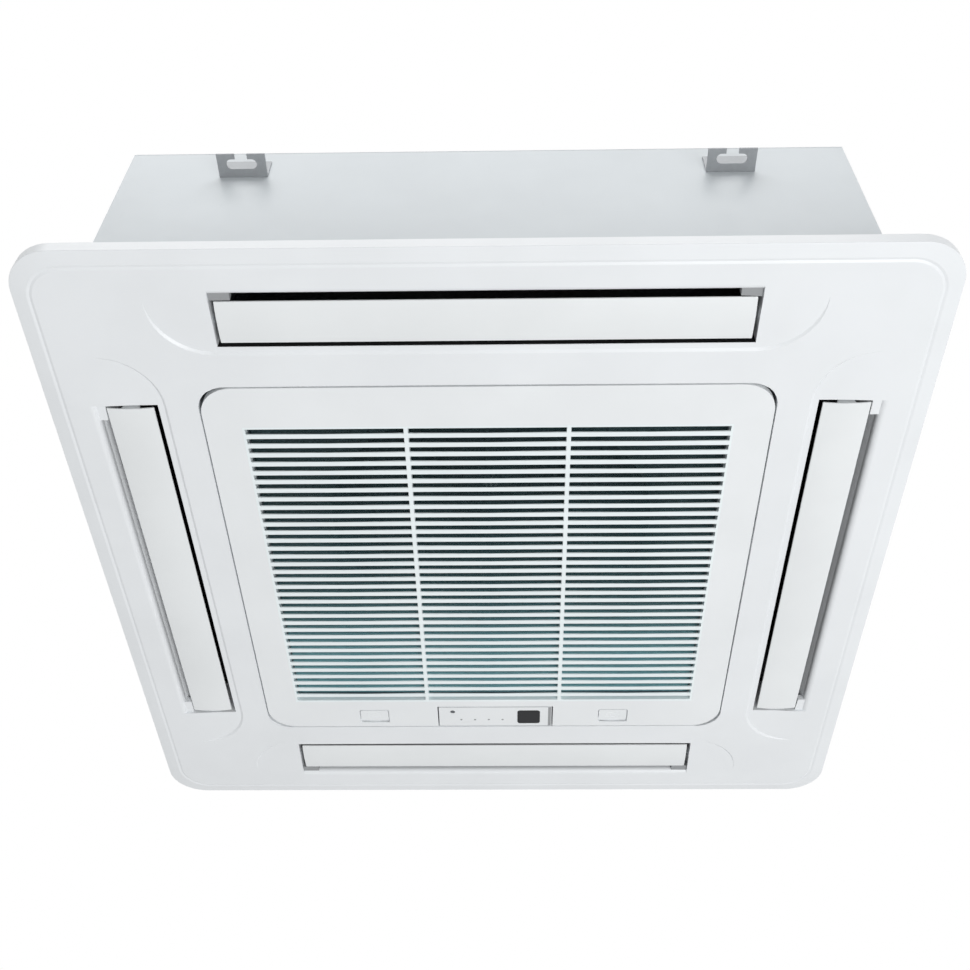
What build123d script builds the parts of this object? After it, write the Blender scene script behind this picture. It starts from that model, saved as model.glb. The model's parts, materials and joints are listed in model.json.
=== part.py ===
"""Four-way ceiling cassette air conditioner, in millimetres, +Z up.

The origin is the centre of the decorative panel's lower face, which looks down
into the room.  +X is to the right, and +Y points to the edge of the intake
grille that carries the receiver strip and the latches.  The grille's hinge is
on the -Y side, called near.  The four sides are near, right, far and left.
"""

import os
from math import cos, radians, sin

from build123d import *

os.makedirs("parts", exist_ok=True)

# ---------------------------------------------------------------- panel
PANEL_SIZE = 950.0  # outer square
PANEL_CORNER_R = 48.0
PANEL_EDGE_H = 18.0  # room side to ceiling
PANEL_SKIN = 4.0
RIM_WIDTH = 18.5  # sloped border outside the flat face
RIM_RISE = 3.0
RIM_CORNER_R = 39.0
SEAT_WIDTH = 12.0  # flat ring that meets the ceiling
DUCT_TOP = 50.0  # top of the panel's outlet ducts and collar
COLLAR_STEP = 2.0  # how far the collar stands in from the casing's wall
COLLAR_R = 14.0
RIB = 2.0
RIB_TOP = 14.0

# ---------------------------------------------------------------- outlets
OUTLET_IN = 355.5  # inner edge, from the centre
OUTLET_OUT = 422.0  # outer edge at the room side
OUTLET_HALF = 278.0  # half the outlet's length
DUCT_WALL = 2.5
LIP_DEPTH = 12.0  # how far the outlet's mouth reaches beyond the duct's outer wall
LIP_LOW = 10.0  # the mouth's outer wall is upright up to here
LIP_RISE = 30.0  # and joins the duct here
PIN_HOLE_GAP = 0.7  # round the louvre's pin in the end wall
PIN_END_GAP = 0.3
END_SHELF = (22.0, 9.4, 8.0)  # small shelf at each end of the gap outside a louvre
END_SHELF_IN = 413.6
END_SHELF_LOW = 3.0
RELIEF_R = 66.0  # round ends of the shallow relief beside each outlet
RELIEF_EDGE = 349.0  # inner edge of the relief
RELIEF_DEPTH = 2.2

# ---------------------------------------------------------------- louvres
LOUVRE_IN = 360.5
LOUVRE_OUT = 412.5
LOUVRE_HALF = 273.5
LOUVRE_THICK = 2.4
LOUVRE_CROWN = 2.0  # how far the edges rise above the middle
LOUVRE_LOW = 0.4  # the middle's height above the panel face
PIVOT_U = 386.0
PIVOT_Z = 17.0
PIVOT_R = 2.5
ARM_THICK = 3.0
ARM_R = 5.5
PIN_FIT = 0.05  # radial clearance of turning pins
BEARING_SIZE = 12.0
BEARING_LEN = 3.4
STEPPER_R = 12.0
STEPPER_LEN = 19.0
STEPPER_PIN = 6.0  # pin length inside the stepper
STEPPER_EAR = 1.5
STEPPER_EAR_R = 4.0

# ---------------------------------------------------------------- intake grille
GRILLE_WIDTH = 620.0
GRILLE_LENGTH = 611.5
GRILLE_Y = 4.25  # centre of the grille
GRILLE_CORNER_R = 37.0
GRILLE_SKIN = 3.0
GRILLE_H = 10.0
GRILLE_WALL = 3.0
GRILLE_GAP = 1.5
HINGE_GAP = 2.0  # wider gap on the hinge side
SLOT_COUNT = 36
SLOT_PITCH = 13.86
SLOT_WIDTH = 7.6
SLOT_LENGTH = 174.0
SLOT_COLUMNS = 3
DIVIDER = 5.0
SLAT_DEPTH = 4.0  # the slats are shallower than the frame round them
SLOT_FIELD_Y = 3.5
FIELD_BORDER = 4.0
OPENING_WALL = 3.0
OPENING_R = 32.0  # tighter than the grille's corner, so that the grille can swing

HINGE_X = 200.0
HINGE_Y = -268.0
HINGE_Z = 10.0
HINGE_PIN_R = 2.0
KNUCKLE_R = 4.5
HINGE_ARM = 10.0  # width of the panel's hinge arm
HINGE_SIDE_GAP = 2.0
HINGE_EAR = 4.0
HINGE_ARM_DEPTH = 6.0

# ---------------------------------------------------------------- latches
LATCH_X = 164.0
LATCH_Y = 287.0
LATCH_WINDOW = (40.0, 29.0)
LATCH_PAD = (38.0, 20.0)
LATCH_PLATE_WIDTH = 50.0
LATCH_LAP = 1.0  # how far the plate still covers the window when locked
LATCH_PLATE_THICK = 2.4
LATCH_NOSE = 16.0
LATCH_TRAVEL = 5.0
LATCH_FIT = 0.3
LATCH_RAIL = 4.0
LATCH_RAIL_LIP = 2.0
LATCH_CORNER_R = 3.0
LATCH_PAD_RECESS = 0.8
LATCH_GROOVE = 1.2
LATCH_GROOVE_PITCH = 4.5
CATCH_WALL = 4.0
CATCH_GAP = 0.7
CATCH_DEPTH = 9.0

# ---------------------------------------------------------------- filter
FILTER_WIDTH = 552.0
FILTER_LENGTH = 512.0
FILTER_H = 7.0
FILTER_BORDER = 11.0
FILTER_RIB = 3.0
FILTER_CELLS = 4
NET_THICK = 0.8
NET_LEVEL = 2.5
NET_GAPS = (12, 11)
NET_BAR = 3.0
CLIP_WIDTH = 14.0
CLIP_WALL = 2.5
CLIP_LIP = 3.0
CLIP_X = 180.0

# ---------------------------------------------------------------- receiver strip
STRIP_X = 2.5
STRIP_SIZE = (155.0, 42.0)
STRIP_Y = 288.0
STRIP_H = 14.0
STRIP_WALL = 2.0
STRIP_GAP = 1.5
WINDOW_X = 48.5
WINDOW_Y = 289.0
WINDOW_SIZE = (31.0, 30.0)
WINDOW_R = 4.0
WINDOW_THICK = 4.5
LIGHT_COUNT = 4
LIGHT_X = -16.0
LIGHT_Y = 295.0
LIGHT_PITCH = 19.0
LIGHT_R = 1.5
BUTTON_X = -56.0
BUTTON_Y = 277.0
BUTTON_R = 3.0
BUTTON_FIT = 0.3
BUTTON_RECESS = 0.2
BUTTON_FLANGE_R = 4.5
BUTTON_FLANGE = 1.0
BUTTON_TRAVEL = 1.0
BUTTON_STEM_R = 1.5
BOARD_THICK = 1.6
BOARD_LEVEL = 10.0
SWITCH_H = 3.5
SWITCH_SIZE = 6.0
STRIP_TONGUE = (120.0, 8.0)

# ---------------------------------------------------------------- casing
CASING_SIZE = 840.0
CASING_BOTTOM = 55.0
CASING_TOP = 297.0
SHEET = 1.2
BEAD_H = 3.0
BEAD_WIDTH = 26.0
BEAD_LENGTH = 300.0
BEAD_REACH = 370.0  # distance of a bead's centre from the middle
BEAD_TURNS = (45, 135, 225, 315)
CROWN_R = 130.0  # raised round over the motor
WALL_FOAM = 8.0
TOP_FOAM = 6.0

HANGER_PITCH_X = 560.0
HANGER_Z = 240.0
HANGER_WIDTH = 56.0
HANGER_REACH = 30.0
HANGER_SHEET = 2.0
HANGER_LEG = 34.0
HANGER_SLOT_OUT = 17.0  # slot centre from the casing
HANGER_SLOT_W = 12.0
HANGER_SLOT_L = 35.0
HANGER_NOTCH = 14.0

# ---------------------------------------------------------------- drain pan and bell mouth
PAN_TOP = 110.0
PAN_DUCT_IN = 356.0
PAN_DUCT_OUT = 409.0
PAN_DUCT_HALF = 275.0
PAN_HOLE_R = 254.0
TROUGH_FLOOR = 74.0
TROUGH_GAP = 7.0
SUMP_IN = 325.0
SUMP_OUT = 409.0
SUMP_PASS = 280.0
SEAL_WIDTH = 8.0

BELL_PLATE = 560.0
BELL_PLATE_R = 60.0
BELL_THICK = 3.0
BELL_THROAT_R = 204.0
BELL_CURVE_R = 48.0

BOLT_X = 293.0
BOLT_Y_NEAR = -285.0
BOLT_Y_FAR = 293.0
BOLT_R = 3.0
BOLT_CLEAR = 0.3
BOLT_FIT = 0.05
BOLT_HEAD_R = 5.5
BOLT_HEAD_H = 4.0
BOLT_END = 70.0
BOLT_END_GAP = 1.0
TAB_R = 18.0
TAB_THICK = 6.0

# ---------------------------------------------------------------- heat exchanger
COIL_SIZE = 660.0
COIL_THICK = 38.0
COIL_CORNER_R = 70.0
COIL_BOTTOM = 76.0
COIL_OPEN = 250.0  # the ring stops here at its open corner
FIN_PROUD = 4.0  # how far the fins stand out on each face of the core sheet
FIN_THICK = 2.0
FIN_PITCH = 17.0
FIN_COUNT = 28
END_PLATE = 3.0
BEND_ROWS = 4
BEND_TUBE_R = 4.0
BEND_R = 11.0
BEND_PITCH = 46.0
BEND_FIRST_Z = 112.0

GAS_R = 7.94  # 5/8 inch tube
GAS_BORE_R = 6.94
GAS_X = -300.0
GAS_Z = 205.0
GAS_UNION_AF = 26.0
GAS_THREAD_R = 11.1
LIQUID_R = 4.76  # 3/8 inch tube
LIQUID_BORE_R = 3.96
LIQUID_X = -372.0
LIQUID_Z = 150.0
LIQUID_UNION_AF = 19.0
LIQUID_THREAD_R = 7.9
HEADER_OUT = 372.0  # distance of both headers from the middle
HEADER_TOP = 262.0
HEADER_BOTTOM = 116.0
PIPE_END = 444.0
UNION_START = 436.0
UNION_HEX = 12.0
UNION_THREAD = 18.0
FEEDER_R = 3.0
FEEDER_BEND = 12.0
PIPE_GAP = 0.3
COVER_SIZE = (126.0, 120.0)
COVER_THICK = 1.5
COVER_X = -338.0
COVER_Z = 174.0
COVER_LAP = 10.0

# ---------------------------------------------------------------- fan and motor
FAN_R = 236.0
FAN_TOP = 241.0
FAN_WALL = 3.0
BLADE_COUNT = 7
BLADE_THICK = 4.0
BLADE_ROOT_R = 118.0
BLADE_SWEEP = 40.0
BLADE_LEAD = 34.0  # drop of the leading edge at the blade's root
FAN_LIP_Z = 95.0
FAN_LIP_H = 9.0
FAN_LIP_GAP = 3.0
HUB_FLOOR = 183.0
HUB_R = 58.0
DISH_R = 92.0
DISH_BEND = 34.0
DISH_TURN = 14.0
BOSS_R = 16.0
BOSS_LOW = 172.0
SHAFT_R = 5.0
SHAFT_FIT = 0.05
SHAFT_LOW = 160.0
SHAFT_TOP = 235.0
FAN_NUT_AF = 19.0
FAN_NUT_H = 7.0
MOTOR_R = 66.0
MOTOR_LOW = 205.0
MOTOR_FLANGE = 276.0
MOTOR_EDGE_R = 8.0
MOTOR_RIB = 2.0
MOTOR_RIBS = 12
FLANGE_THICK = 4.0
STUD_CIRCLE = 95.0
STUD_R = 3.0
STUD_GAP = 0.3
STUD_LOW = 268.0
LUG_R = 13.0
DAMPER_R = 11.0
DAMPER_GAP = 2.0
DAMPER_COLLAR = 5.0
STUD_NUT_AF = 10.0
STUD_NUT_H = 5.0

# ---------------------------------------------------------------- drain
DRAIN_Y = 300.0
DRAIN_Z = 215.0
DRAIN_R = 16.0
DRAIN_WALL = 2.5
DRAIN_END = 466.0
DRAIN_START = 404.0
DRAIN_FLANGE_R = 21.0
DRAIN_FLANGE = 3.0
DRAIN_LAP = 8.0
PUMP_XY = 372.0
PUMP_INLET_R = 9.0
PUMP_BODY_R = 30.0
PUMP_BODY = (112.0, 134.0)
PUMP_MOTOR_R = 24.0
PUMP_TOP = 190.0
PUMP_INLET_LOW = 78.0
SPOUT_R = 7.0
SPOUT_Z = 123.0
SPOUT_END = 332.0
SPOUT_LAP = 8.0
HOSE_R = 10.0
HOSE_WALL = 2.0
HOSE_BEND = 22.0
FLOAT_X = 345.0
FLOAT_Y = 399.0
FLOAT_R = 8.0
FLOAT_Z = (80.0, 98.0)
FLOAT_STEM_R = 2.5
BRACKET_EDGE = 332.0
BRACKET_THICK = 2.0
BRACKET_UP = 34.0

# ---------------------------------------------------------------- electrics
BOX_SIZE = (380.0, 66.0, 24.0)
BOX_Y = 257.0
BOX_SHEET = 1.2
LID_SKIRT = 6.0
CARD_SIZE = (210.0, 46.0)
CARD_X = 50.0
CARD_DROP = 6.0
TERMINAL_SIZE = (64.0, 26.0, 15.0)
TERMINAL_X = -130.0
TERMINAL_WAYS = 6
TERMINAL_CELL = 6.0
RELAY_SIZE = (22.0, 16.0)
RELAY_PITCH = 55.0
RELAY_DROP = 10.0
CABLE_X = 150.0
CABLE_Z = 250.0
CABLE_HOLE_R = 13.0
CABLE_BORE_R = 8.0
GROMMET_LIP = 3.0
GROMMET_LIP_THICK = 2.5

# ---------------------------------------------------------------- worked out from the sizes above
SIDES = {"near": 0, "right": 90, "far": 180, "left": 270}
PANEL_HALF = PANEL_SIZE / 2
CASING_HALF = CASING_SIZE / 2
CAVITY = CASING_HALF - SHEET  # inner face of the casing wall
SHEET_TOP = CASING_TOP - SHEET  # inner face of the casing top
CROWN_UNDER = SHEET_TOP + BEAD_H  # inner face of the raised round over the motor
COLLAR_OUT = CASING_HALF - COLLAR_STEP
FOAM_IN = CAVITY - WALL_FOAM
FOAM_LOW = SHEET_TOP - TOP_FOAM
DUCT_INNER_WALL = OUTLET_OUT - LIP_DEPTH  # outer duct wall above the flare
LOUVRE_ARMS = [share * (LOUVRE_HALF - ARM_THICK / 2) for share in (-1, -0.5, 0, 0.5, 1)]
OPENING_X = GRILLE_WIDTH / 2 + GRILLE_GAP
OPENING_NEAR = GRILLE_Y - GRILLE_LENGTH / 2 - HINGE_GAP
OPENING_FAR = GRILLE_Y + GRILLE_LENGTH / 2 + GRILLE_GAP
GRILLE_NEAR = GRILLE_Y - GRILLE_LENGTH / 2
OPENING_Y = (OPENING_NEAR + OPENING_FAR) / 2
OPENING_LENGTH = OPENING_FAR - OPENING_NEAR
GRILLE_FAR = OPENING_FAR - GRILLE_GAP
COIL_OUT = COIL_SIZE / 2
COIL_IN = COIL_OUT - COIL_THICK
COIL_TOP = FOAM_LOW
BELL_LOW = CASING_BOTTOM - BELL_THICK
BELL_TIP = BELL_LOW + BELL_CURVE_R
FAN_LIP_R = BELL_THROAT_R + BELL_THICK + FAN_LIP_GAP
COLUMN_PITCH = SLOT_LENGTH + DIVIDER
FIELD_X = SLOT_COLUMNS * SLOT_LENGTH + (SLOT_COLUMNS - 1) * DIVIDER
FIELD_Y = (SLOT_COUNT - 1) * SLOT_PITCH + SLOT_WIDTH
BOX_LOW = BELL_LOW - BOX_SIZE[2]
TAB_LOW = DUCT_TOP - TAB_THICK
BOLT_PLACES = [(x, y) for x in (-BOLT_X, BOLT_X) for y in (BOLT_Y_NEAR, BOLT_Y_FAR)]
HINGE_POCKET = HINGE_ARM + 2 * HINGE_SIDE_GAP
FILTER_Y = SLOT_FIELD_Y
CLIP_UNDER = GRILLE_H + FILTER_H + LATCH_FIT
STRIP_NEAR = STRIP_Y - STRIP_SIZE[1] / 2
STRIP_FAR = STRIP_Y + STRIP_SIZE[1] / 2
SWITCH_FACE = BOARD_LEVEL - SWITCH_H
RAIL_UNDER = GRILLE_SKIN + 2 * LATCH_FIT + LATCH_PLATE_THICK
CATCH_TOP = RAIL_UNDER + CATCH_GAP
CATCH_MIDDLE = (CATCH_TOP + GRILLE_SKIN) / 2
LATCH_PLATE_FAR = GRILLE_FAR - GRILLE_WALL - LATCH_TRAVEL - LATCH_FIT
LATCH_PLATE_NEAR = LATCH_Y - LATCH_WINDOW[1] / 2 - LATCH_TRAVEL - LATCH_LAP
LATCH_PAD_Y = LATCH_Y - LATCH_TRAVEL / 2
SHROUD_R = FAN_R - FAN_LIP_R - FAN_WALL / 2


def side_plane(turn, height=0.0):
    """Plan view of one side: local x runs along it, local -y points outwards."""
    return Plane.XY.rotated((0, 0, turn)).offset(height)


def cross_plane(turn, along=0.0):
    """Cross-section of one side: local x points outwards, local y is up."""
    plan = side_plane(turn)
    return Plane(origin=plan.x_dir * along, x_dir=-plan.y_dir, z_dir=-plan.x_dir)


def at_y(y):
    """Upright plane across Y: local x is X and local y is up."""
    return Plane(origin=(0, y, 0), x_dir=(1, 0, 0), z_dir=(0, -1, 0))


def at_x(x):
    """Upright plane across X: local x is Y and local y is up."""
    return Plane(origin=(x, 0, 0), x_dir=(0, 1, 0), z_dir=(1, 0, 0))


def polar(radius, degrees):
    """Point at a radius and an angle about the origin."""
    return (radius * cos(radians(degrees)), radius * sin(radians(degrees)))


def keep(piece, name):
    """Label a finished piece and write its STEP file."""
    piece.part.label = name
    export_step(piece.part, f"parts/{name}.step")


# ================================================================ panel
def make_panel_frame():
    """One white moulding: plate, sloped rim, intake opening and four outlet ducts."""
    flat = PANEL_SIZE - 2 * RIM_WIDTH
    hollow = PANEL_SIZE - 2 * SEAT_WIDTH
    inner = OUTLET_IN - DUCT_WALL
    outer = OUTLET_OUT + DUCT_WALL
    end = OUTLET_HALF + DUCT_WALL
    back = DUCT_INNER_WALL + DUCT_WALL
    rib_room = PANEL_HALF - SEAT_WIDTH - outer
    collar_in = COLLAR_OUT - DUCT_WALL
    with BuildPart() as frame:
        with BuildSketch():
            RectangleRounded(flat, flat, RIM_CORNER_R)
        with BuildSketch(Plane.XY.offset(RIM_RISE)):
            RectangleRounded(PANEL_SIZE, PANEL_SIZE, PANEL_CORNER_R)
        loft()
        with BuildSketch(Plane.XY.offset(RIM_RISE)):
            RectangleRounded(PANEL_SIZE, PANEL_SIZE, PANEL_CORNER_R)
        extrude(amount=PANEL_EDGE_H - RIM_RISE)
        with BuildSketch(Plane.XY.offset(PANEL_SKIN)):
            RectangleRounded(hollow, hollow, PANEL_CORNER_R - SEAT_WIDTH)
        extrude(amount=PANEL_EDGE_H, mode=Mode.SUBTRACT)
        # wall round the intake opening
        with BuildSketch(Plane.XY.offset(PANEL_SKIN)):
            with Locations((0, OPENING_Y)):
                RectangleRounded(
                    2 * (OPENING_X + OPENING_WALL),
                    OPENING_LENGTH + 2 * OPENING_WALL,
                    OPENING_R + OPENING_WALL,
                )
        extrude(amount=DUCT_TOP - PANEL_SKIN)
        # square collar that reaches up to the casing
        with BuildSketch(Plane.XY.offset(PANEL_SKIN)):
            RectangleRounded(2 * COLLAR_OUT, 2 * COLLAR_OUT, COLLAR_R)
            RectangleRounded(2 * collar_in, 2 * collar_in, COLLAR_R - DUCT_WALL, mode=Mode.SUBTRACT)
        extrude(amount=DUCT_TOP - PANEL_SKIN)
        # blocks behind the far wall that the latches reach into
        with BuildSketch():
            with Locations((-LATCH_X, OPENING_FAR), (LATCH_X, OPENING_FAR)):
                Rectangle(
                    LATCH_NOSE + 2 * CATCH_WALL,
                    CATCH_DEPTH + CATCH_WALL,
                    align=(Align.CENTER, Align.MIN),
                )
        extrude(amount=CATCH_TOP + CATCH_WALL)
        for turn in SIDES.values():
            # duct round one outlet, thick behind the outer lip
            with BuildSketch(cross_plane(turn)):
                Polygon(
                    (inner, 0),
                    (outer, 0),
                    (outer, LIP_LOW),
                    (back, LIP_RISE),
                    (back, DUCT_TOP),
                    (inner, DUCT_TOP),
                    align=None,
                )
            extrude(amount=end, both=True)
            # ribs from the duct to the rim
            with BuildSketch(side_plane(turn, PANEL_SKIN)):
                with Locations((0, -(outer + rib_room / 2))):
                    with GridLocations(end - RIB, 0, 3, 1):
                        Rectangle(RIB, rib_room)
            extrude(amount=RIB_TOP - PANEL_SKIN)
        with BuildSketch():
            with Locations((0, OPENING_Y)):
                RectangleRounded(2 * OPENING_X, OPENING_LENGTH, OPENING_R)
        extrude(amount=DUCT_TOP, mode=Mode.SUBTRACT)
        with BuildSketch(at_y(OPENING_FAR)):
            with Locations((-LATCH_X, CATCH_MIDDLE), (LATCH_X, CATCH_MIDDLE)):
                Rectangle(LATCH_NOSE + 2 * CATCH_GAP, CATCH_TOP - GRILLE_SKIN)
        extrude(amount=-CATCH_DEPTH, mode=Mode.SUBTRACT)
        for turn in SIDES.values():
            # the outlet: straight inner wall, and an outer wall that widens at the mouth
            with BuildSketch(cross_plane(turn)):
                Polygon(
                    (OUTLET_OUT, 0),
                    (OUTLET_IN, 0),
                    (OUTLET_IN, DUCT_TOP),
                    (DUCT_INNER_WALL, DUCT_TOP),
                    (DUCT_INNER_WALL, LIP_RISE),
                    (OUTLET_OUT, LIP_LOW),
                    align=None,
                )
            extrude(amount=OUTLET_HALF, both=True, mode=Mode.SUBTRACT)
            # small shelves outside the louvre, one at each end
            for hand in (-1, 1):
                with BuildSketch(cross_plane(turn, hand * OUTLET_HALF)):
                    with Locations((END_SHELF_IN, END_SHELF_LOW)):
                        Rectangle(*END_SHELF[1:], align=(Align.MIN, Align.MIN))
                extrude(amount=hand * END_SHELF[0])
            # holes for the louvre's driven pin
            with BuildSketch(cross_plane(turn, -OUTLET_HALF)):
                with Locations((PIVOT_U, PIVOT_Z)):
                    Circle(PIVOT_R + PIN_HOLE_GAP)
            extrude(amount=DUCT_WALL, mode=Mode.SUBTRACT)
            # shallow relief with round ends, which fades out towards the rim
            with BuildSketch(side_plane(turn)):
                with BuildLine():
                    end_line = Line((-OUTLET_HALF, -RELIEF_EDGE), (OUTLET_HALF, -RELIEF_EDGE))
                    right_arc = TangentArc(
                        end_line @ 1,
                        (OUTLET_HALF + RELIEF_R, -RELIEF_EDGE - RELIEF_R),
                        tangent=(1, 0),
                    )
                    left_arc = TangentArc(
                        end_line @ 0,
                        (-OUTLET_HALF - RELIEF_R, -RELIEF_EDGE - RELIEF_R),
                        tangent=(-1, 0),
                    )
                    Line(right_arc @ 1, left_arc @ 1)
                make_face()
            relief = extrude(amount=RELIEF_DEPTH, mode=Mode.PRIVATE)
            with BuildSketch(cross_plane(turn)):
                Polygon(
                    (RELIEF_EDGE - 1, 0),
                    (RELIEF_EDGE - 1, RELIEF_DEPTH),
                    (RELIEF_EDGE, RELIEF_DEPTH),
                    (RELIEF_EDGE + RELIEF_R / 2, RELIEF_DEPTH * 0.8),
                    (RELIEF_EDGE + RELIEF_R, 0),
                    align=None,
                )
            wedge = extrude(amount=OUTLET_HALF + RELIEF_R + 1, both=True, mode=Mode.PRIVATE)
            add(relief & wedge, mode=Mode.SUBTRACT)
        # bolt tabs in the corners of the opening
        with BuildSketch(Plane.XY.offset(TAB_LOW)):
            with Locations(*BOLT_PLACES):
                Circle(TAB_R)
            with Locations(*BOLT_PLACES):
                Circle(BOLT_R + BOLT_CLEAR, mode=Mode.SUBTRACT)
        extrude(amount=TAB_THICK)
        # arms that carry the grille's hinge pins
        for x in (-HINGE_X, HINGE_X):
            with BuildSketch(at_x(x)):
                with BuildLine():
                    Polyline(
                        (HINGE_Y - KNUCKLE_R, HINGE_Z),
                        (HINGE_Y - KNUCKLE_R, DUCT_TOP - HINGE_ARM_DEPTH),
                        (OPENING_NEAR - OPENING_WALL, DUCT_TOP - HINGE_ARM_DEPTH),
                        (OPENING_NEAR - OPENING_WALL, DUCT_TOP),
                        (HINGE_Y + KNUCKLE_R, DUCT_TOP),
                        (HINGE_Y + KNUCKLE_R, HINGE_Z),
                    )
                    RadiusArc((HINGE_Y + KNUCKLE_R, HINGE_Z), (HINGE_Y - KNUCKLE_R, HINGE_Z), KNUCKLE_R)
                make_face()
                with Locations((HINGE_Y, HINGE_Z)):
                    Circle(HINGE_PIN_R + PIN_FIT, mode=Mode.SUBTRACT)
            extrude(amount=HINGE_ARM / 2, both=True)
    return frame


def make_louvre(turn):
    """Crowned blade with arms at both ends and in between, and a pin at each end."""
    middle = (LOUVRE_IN + LOUVRE_OUT) / 2
    edge_z = LOUVRE_LOW + LOUVRE_CROWN
    foot = LOUVRE_LOW + LOUVRE_THICK * 3 / 4
    with BuildPart() as louvre:
        with BuildSketch(cross_plane(turn)):
            with BuildLine():
                lower = ThreePointArc((LOUVRE_IN, edge_z), (middle, LOUVRE_LOW), (LOUVRE_OUT, edge_z))
                Line(lower @ 1, (LOUVRE_OUT, edge_z + LOUVRE_THICK))
                upper = ThreePointArc(
                    (LOUVRE_OUT, edge_z + LOUVRE_THICK),
                    (middle, LOUVRE_LOW + LOUVRE_THICK),
                    (LOUVRE_IN, edge_z + LOUVRE_THICK),
                )
                Line(upper @ 1, lower @ 0)
            make_face()
        extrude(amount=LOUVRE_HALF, both=True)
        for along in LOUVRE_ARMS:
            with BuildSketch(cross_plane(turn, along)):
                with BuildLine():
                    Polyline(
                        (PIVOT_U - ARM_R, PIVOT_Z),
                        (PIVOT_U - 2 * ARM_R, foot),
                        (PIVOT_U + 2 * ARM_R, foot),
                        (PIVOT_U + ARM_R, PIVOT_Z),
                    )
                    RadiusArc((PIVOT_U + ARM_R, PIVOT_Z), (PIVOT_U - ARM_R, PIVOT_Z), -ARM_R)
                make_face()
            extrude(amount=ARM_THICK / 2, both=True)
        with BuildSketch(cross_plane(turn, LOUVRE_HALF)):
            with Locations((PIVOT_U, PIVOT_Z)):
                Circle(PIVOT_R)
        extrude(amount=-(OUTLET_HALF - LOUVRE_HALF - PIN_END_GAP))
        with BuildSketch(cross_plane(turn, -LOUVRE_HALF)):
            with Locations((PIVOT_U, PIVOT_Z)):
                Circle(PIVOT_R)
        extrude(amount=OUTLET_HALF - LOUVRE_HALF + DUCT_WALL + STEPPER_PIN)
    return louvre


def make_louvre_bearings():
    """Eight grey pivot blocks, one on each end wall of each outlet."""
    with BuildPart() as bearings:
        for turn in SIDES.values():
            for along, inward in ((OUTLET_HALF, 1), (-OUTLET_HALF, -1)):
                with BuildSketch(cross_plane(turn, along)):
                    with Locations((PIVOT_U, PIVOT_Z)):
                        RectangleRounded(BEARING_SIZE, BEARING_SIZE, BEARING_SIZE / 4)
                        Circle(PIVOT_R + PIN_FIT, mode=Mode.SUBTRACT)
                extrude(amount=inward * BEARING_LEN)
    return bearings


def make_louvre_stepper(turn):
    """Flat round stepper motor behind the outlet's end wall, with two screw ears."""
    face = -OUTLET_HALF - DUCT_WALL
    with BuildPart() as stepper:
        with BuildSketch(cross_plane(turn, face)):
            with Locations((PIVOT_U, PIVOT_Z)):
                Circle(STEPPER_R)
        extrude(amount=STEPPER_LEN)
        with BuildSketch(cross_plane(turn, face)):
            with Locations((PIVOT_U, PIVOT_Z)):
                SlotCenterToCenter(2 * STEPPER_R + STEPPER_EAR_R, 2 * STEPPER_EAR_R)
                with GridLocations(2 * STEPPER_R + STEPPER_EAR_R, 0, 2, 1):
                    Circle(STEPPER_EAR_R / 2, mode=Mode.SUBTRACT)
        extrude(amount=STEPPER_EAR)
        # plug for the wires on the back
        with BuildSketch(cross_plane(turn, face - STEPPER_LEN)):
            with Locations((PIVOT_U, PIVOT_Z)):
                Rectangle(STEPPER_R, STEPPER_R / 2)
        extrude(amount=STEPPER_EAR)
        with BuildSketch(cross_plane(turn, face)):
            with Locations((PIVOT_U, PIVOT_Z)):
                Circle(PIVOT_R + PIN_FIT)
        extrude(amount=STEPPER_PIN + PIN_END_GAP, mode=Mode.SUBTRACT)
    return stepper


def make_panel_seal():
    """Foam gasket squeezed between the panel's collar and ducts and the body."""
    inner = 2 * (PAN_DUCT_IN - SEAL_WIDTH)
    with BuildPart() as seal:
        with BuildSketch(Plane.XY.offset(DUCT_TOP)):
            RectangleRounded(2 * COLLAR_OUT, 2 * COLLAR_OUT, COLLAR_R)
            Rectangle(inner, inner, mode=Mode.SUBTRACT)
            for turn in SIDES.values():
                with Locations(Location((0, 0), turn)):
                    with Locations((0, (PAN_DUCT_IN + PAN_DUCT_OUT) / 2)):
                        Rectangle(2 * PAN_DUCT_HALF, PAN_DUCT_OUT - PAN_DUCT_IN, mode=Mode.SUBTRACT)
                    # the corners are cut away
                    with Locations((PAN_DUCT_HALF + SEAL_WIDTH, PAN_DUCT_HALF + SEAL_WIDTH)):
                        Rectangle(
                            COLLAR_OUT - PAN_DUCT_HALF - 2 * SEAL_WIDTH,
                            COLLAR_OUT - PAN_DUCT_HALF - 2 * SEAL_WIDTH,
                            align=Align.MIN,
                            mode=Mode.SUBTRACT,
                        )
        extrude(amount=CASING_BOTTOM - DUCT_TOP)
    return seal


def make_panel_bolts():
    """Four bolts that hold the panel up, reached with the grille open."""
    with BuildPart() as bolts:
        with BuildSketch(Plane.XY.offset(TAB_LOW - BOLT_HEAD_H)):
            with Locations(*BOLT_PLACES):
                Circle(BOLT_HEAD_R)
                RegularPolygon(BOLT_HEAD_R / 2, 6, mode=Mode.SUBTRACT)
        extrude(amount=BOLT_HEAD_H / 2)
        with BuildSketch(Plane.XY.offset(TAB_LOW - BOLT_HEAD_H / 2)):
            with Locations(*BOLT_PLACES):
                Circle(BOLT_HEAD_R)
        extrude(amount=BOLT_HEAD_H / 2)
        with BuildSketch(Plane.XY.offset(TAB_LOW)):
            with Locations(*BOLT_PLACES):
                Circle(BOLT_R)
        extrude(amount=BOLT_END - TAB_LOW)
    return bolts


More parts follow.
